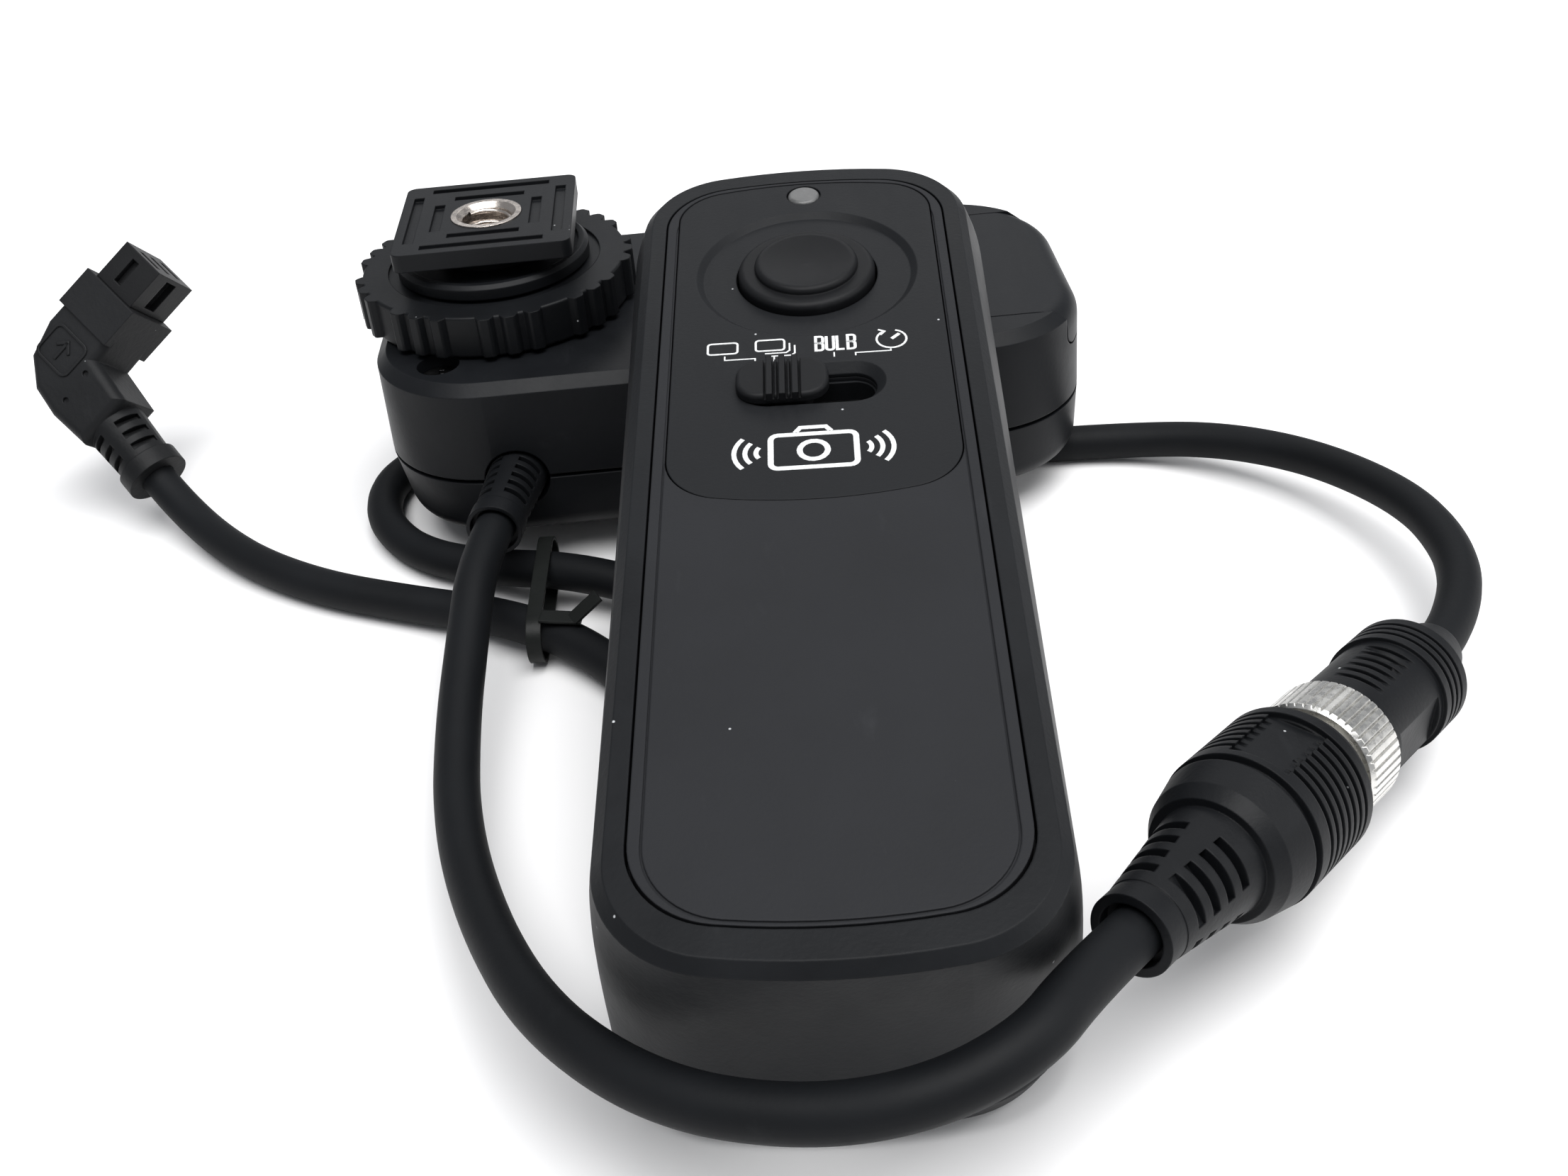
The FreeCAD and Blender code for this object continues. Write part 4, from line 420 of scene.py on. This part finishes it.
def bush_thread():
    """Helical thread ridges on the wall of the foot's bush."""
    curve = bpy.data.curves.new("bush_thread", "CURVE")
    curve.dimensions = "3D"
    turns, steps, pitch, low = 4.4, 28, 1.27, 25.7
    ridge_radius, ridge_size = 2.52, 0.26
    spline = curve.splines.new("POLY")
    total = int(turns * steps)
    spline.points.add(total)
    for index in range(total + 1):
        angle = 2 * math.pi * index / steps
        x, y = ridge_radius * math.cos(angle), ridge_radius * math.sin(angle)
        z = low + pitch * index / steps
        spline.points[index].co = (FOOT @ (Vector((x, y, z)) * MM)).to_4d()
    curve.bevel_depth = ridge_size * MM
    curve.bevel_resolution = 2
    curve.materials.append(MATERIALS["bush"])
    piece = bpy.data.objects.new("bush_thread", curve)
    bpy.context.scene.collection.objects.link(piece)
    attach(piece, "receiver")


# ---------------------------------------------------------------- cords
RECEIVER_CORD = [
    (-0.02393, 0.01397, 0.01100), (-0.0252, 0.0066, 0.0114), (-0.0257, -0.0024, 0.0093),
    (-0.0259, -0.0129, 0.0080), (-0.0250, -0.0254, 0.0076), (-0.0216, -0.0379, 0.0087),
    (-0.0164, -0.0497, 0.0111), (-0.0084, -0.0585, 0.0130), (0.0008, -0.0623, 0.0142),
    (0.0088, -0.0629, 0.0157), (0.0153, -0.0605, 0.0168), (0.01937, -0.05568, 0.01636),
    (0.02425, -0.05077, 0.01530),
]
ADAPTER_CORD = [
    (0.05852, -0.01626, 0.00786), (0.06158, -0.01317, 0.00719), (0.0663, -0.0047, 0.0072),
    (0.0672, 0.0043, 0.0069), (0.0656, 0.0127, 0.0060), (0.0606, 0.0219, 0.0049), (0.0528, 0.0291, 0.0036),
    (0.0436, 0.0331, 0.0021), (0.0320, 0.0340, 0.00197), (0.0180, 0.0351, 0.00197),
    (0.0030, 0.0379, 0.00197), (-0.0115, 0.0425, 0.00197), (-0.0235, 0.0463, 0.00197),
    (-0.0330, 0.0465, 0.00197), (-0.0394, 0.0407, 0.00197), (-0.0396, 0.0319, 0.00197),
    (-0.0346, 0.0240, 0.00197), (-0.0266, 0.0187, 0.0029), (-0.0176, 0.0147, 0.0043),
    (-0.0086, 0.0099, 0.0040), (0.0012, 0.0067, 0.0026), (0.0104, 0.0019, 0.00197),
    (0.0146, -0.0065, 0.00197), (0.0112, -0.0155, 0.00197), (0.0022, -0.0187, 0.00197),
    (-0.0060, -0.0139, 0.00197), (-0.0096, -0.0051, 0.0022), (-0.0156, 0.0035, 0.0028),
    (-0.0242, 0.0099, 0.0027), (-0.0346, 0.0147, 0.0021), (-0.0446, 0.0195, 0.00197),
    (-0.0536, 0.0263, 0.0021), (-0.06143, 0.03524, 0.00298), (-0.06466, 0.03863, 0.00605),
]
CORD_DIAMETER = 0.0039


def cord(name, points, node):
    """Round cord as one open NURBS curve through the listed control points."""
    curve = bpy.data.curves.new(name, "CURVE")
    curve.dimensions = "3D"
    curve.resolution_u = 12
    spline = curve.splines.new("NURBS")
    spline.points.add(len(points) - 1)
    for index, point in enumerate(points):
        spline.points[index].co = (*point, 1.0)
    spline.order_u = 3
    spline.use_endpoint_u = True
    curve.bevel_depth = 0.5 * CORD_DIAMETER
    curve.bevel_resolution = 8
    curve.use_fill_caps = True
    curve.materials.append(MATERIALS["cord"])
    piece = bpy.data.objects.new(name, curve)
    bpy.context.scene.collection.objects.link(piece)
    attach(piece, "receiver")
    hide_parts(node)
    return piece


# ---------------------------------------------------------------- stage
def stage():
    """Pale floor, soft studio lights and the camera."""
    shape = bmesh.new()
    bmesh.ops.create_grid(shape, x_segments=2, y_segments=2, size=3.0)
    mesh = bpy.data.meshes.new("floor")
    shape.to_mesh(mesh)
    shape.free()
    mesh.materials.append(MATERIALS["table"])
    floor = bpy.data.objects.new("floor", mesh)
    bpy.context.scene.collection.objects.link(floor)

    world = bpy.data.worlds.new("studio")
    world.use_nodes = True
    world.node_tree.nodes["Background"].inputs["Color"].default_value = (0.92, 0.95, 1.0, 1.0)
    world.node_tree.nodes["Background"].inputs["Strength"].default_value = 0.36
    bpy.context.scene.world = world
    bpy.context.scene.view_settings.view_transform = "Standard"

    for name, place, aim, size, power in (
            ("overhead", (0.1, -0.2, 0.95), (0.0, 0.0, 0.0), (1.1, 0.7), 17.5),
            ("right_window", (0.9, -0.25, 0.45), (0.0, 0.0, 0.0), (0.7, 0.5), 3.0),
            ("far_fill", (0.2, 0.9, 0.7), (0.0, 0.0, 0.0), (1.0, 0.4), 2.0)):
        light = bpy.data.lights.new(name, "AREA")
        light.shape = "RECTANGLE"
        light.size, light.size_y = size
        light.energy = power
        lamp = bpy.data.objects.new(name, light)
        bpy.context.scene.collection.objects.link(lamp)
        lamp.location = place
        lamp.rotation_euler = (Vector(aim) - Vector(place)).to_track_quat("-Z", "Y").to_euler()

    # the camera looks down its forward way from a hand's breadth in front of the set
    right = Vector((0.9951, -0.0700, -0.0705))
    forward = Vector((0.0165, 0.8158, -0.5781))
    up = right.cross(forward).normalized()
    right = forward.cross(up).normalized()
    data = bpy.data.cameras.new("camera")
    data.sensor_width = 36.0
    data.lens = 38.3
    data.clip_start = 0.005
    camera = bpy.data.objects.new("camera", data)
    bpy.context.scene.collection.objects.link(camera)
    turn = Matrix((right, up, -forward)).transposed().to_4x4()
    eye = (0.00114, -0.12671, 0.09962)
    camera.matrix_world = Matrix.Translation(eye) @ turn
    bpy.context.scene.camera = camera


dress_nodes()
mode_marks()
radio_pictogram()
plug_mark()
grip_marks()
bush_thread()
cord("receiver_lead", RECEIVER_CORD, "receiver_cord")
cord("adapter_lead", ADAPTER_CORD, "adapter_cord")
stage()
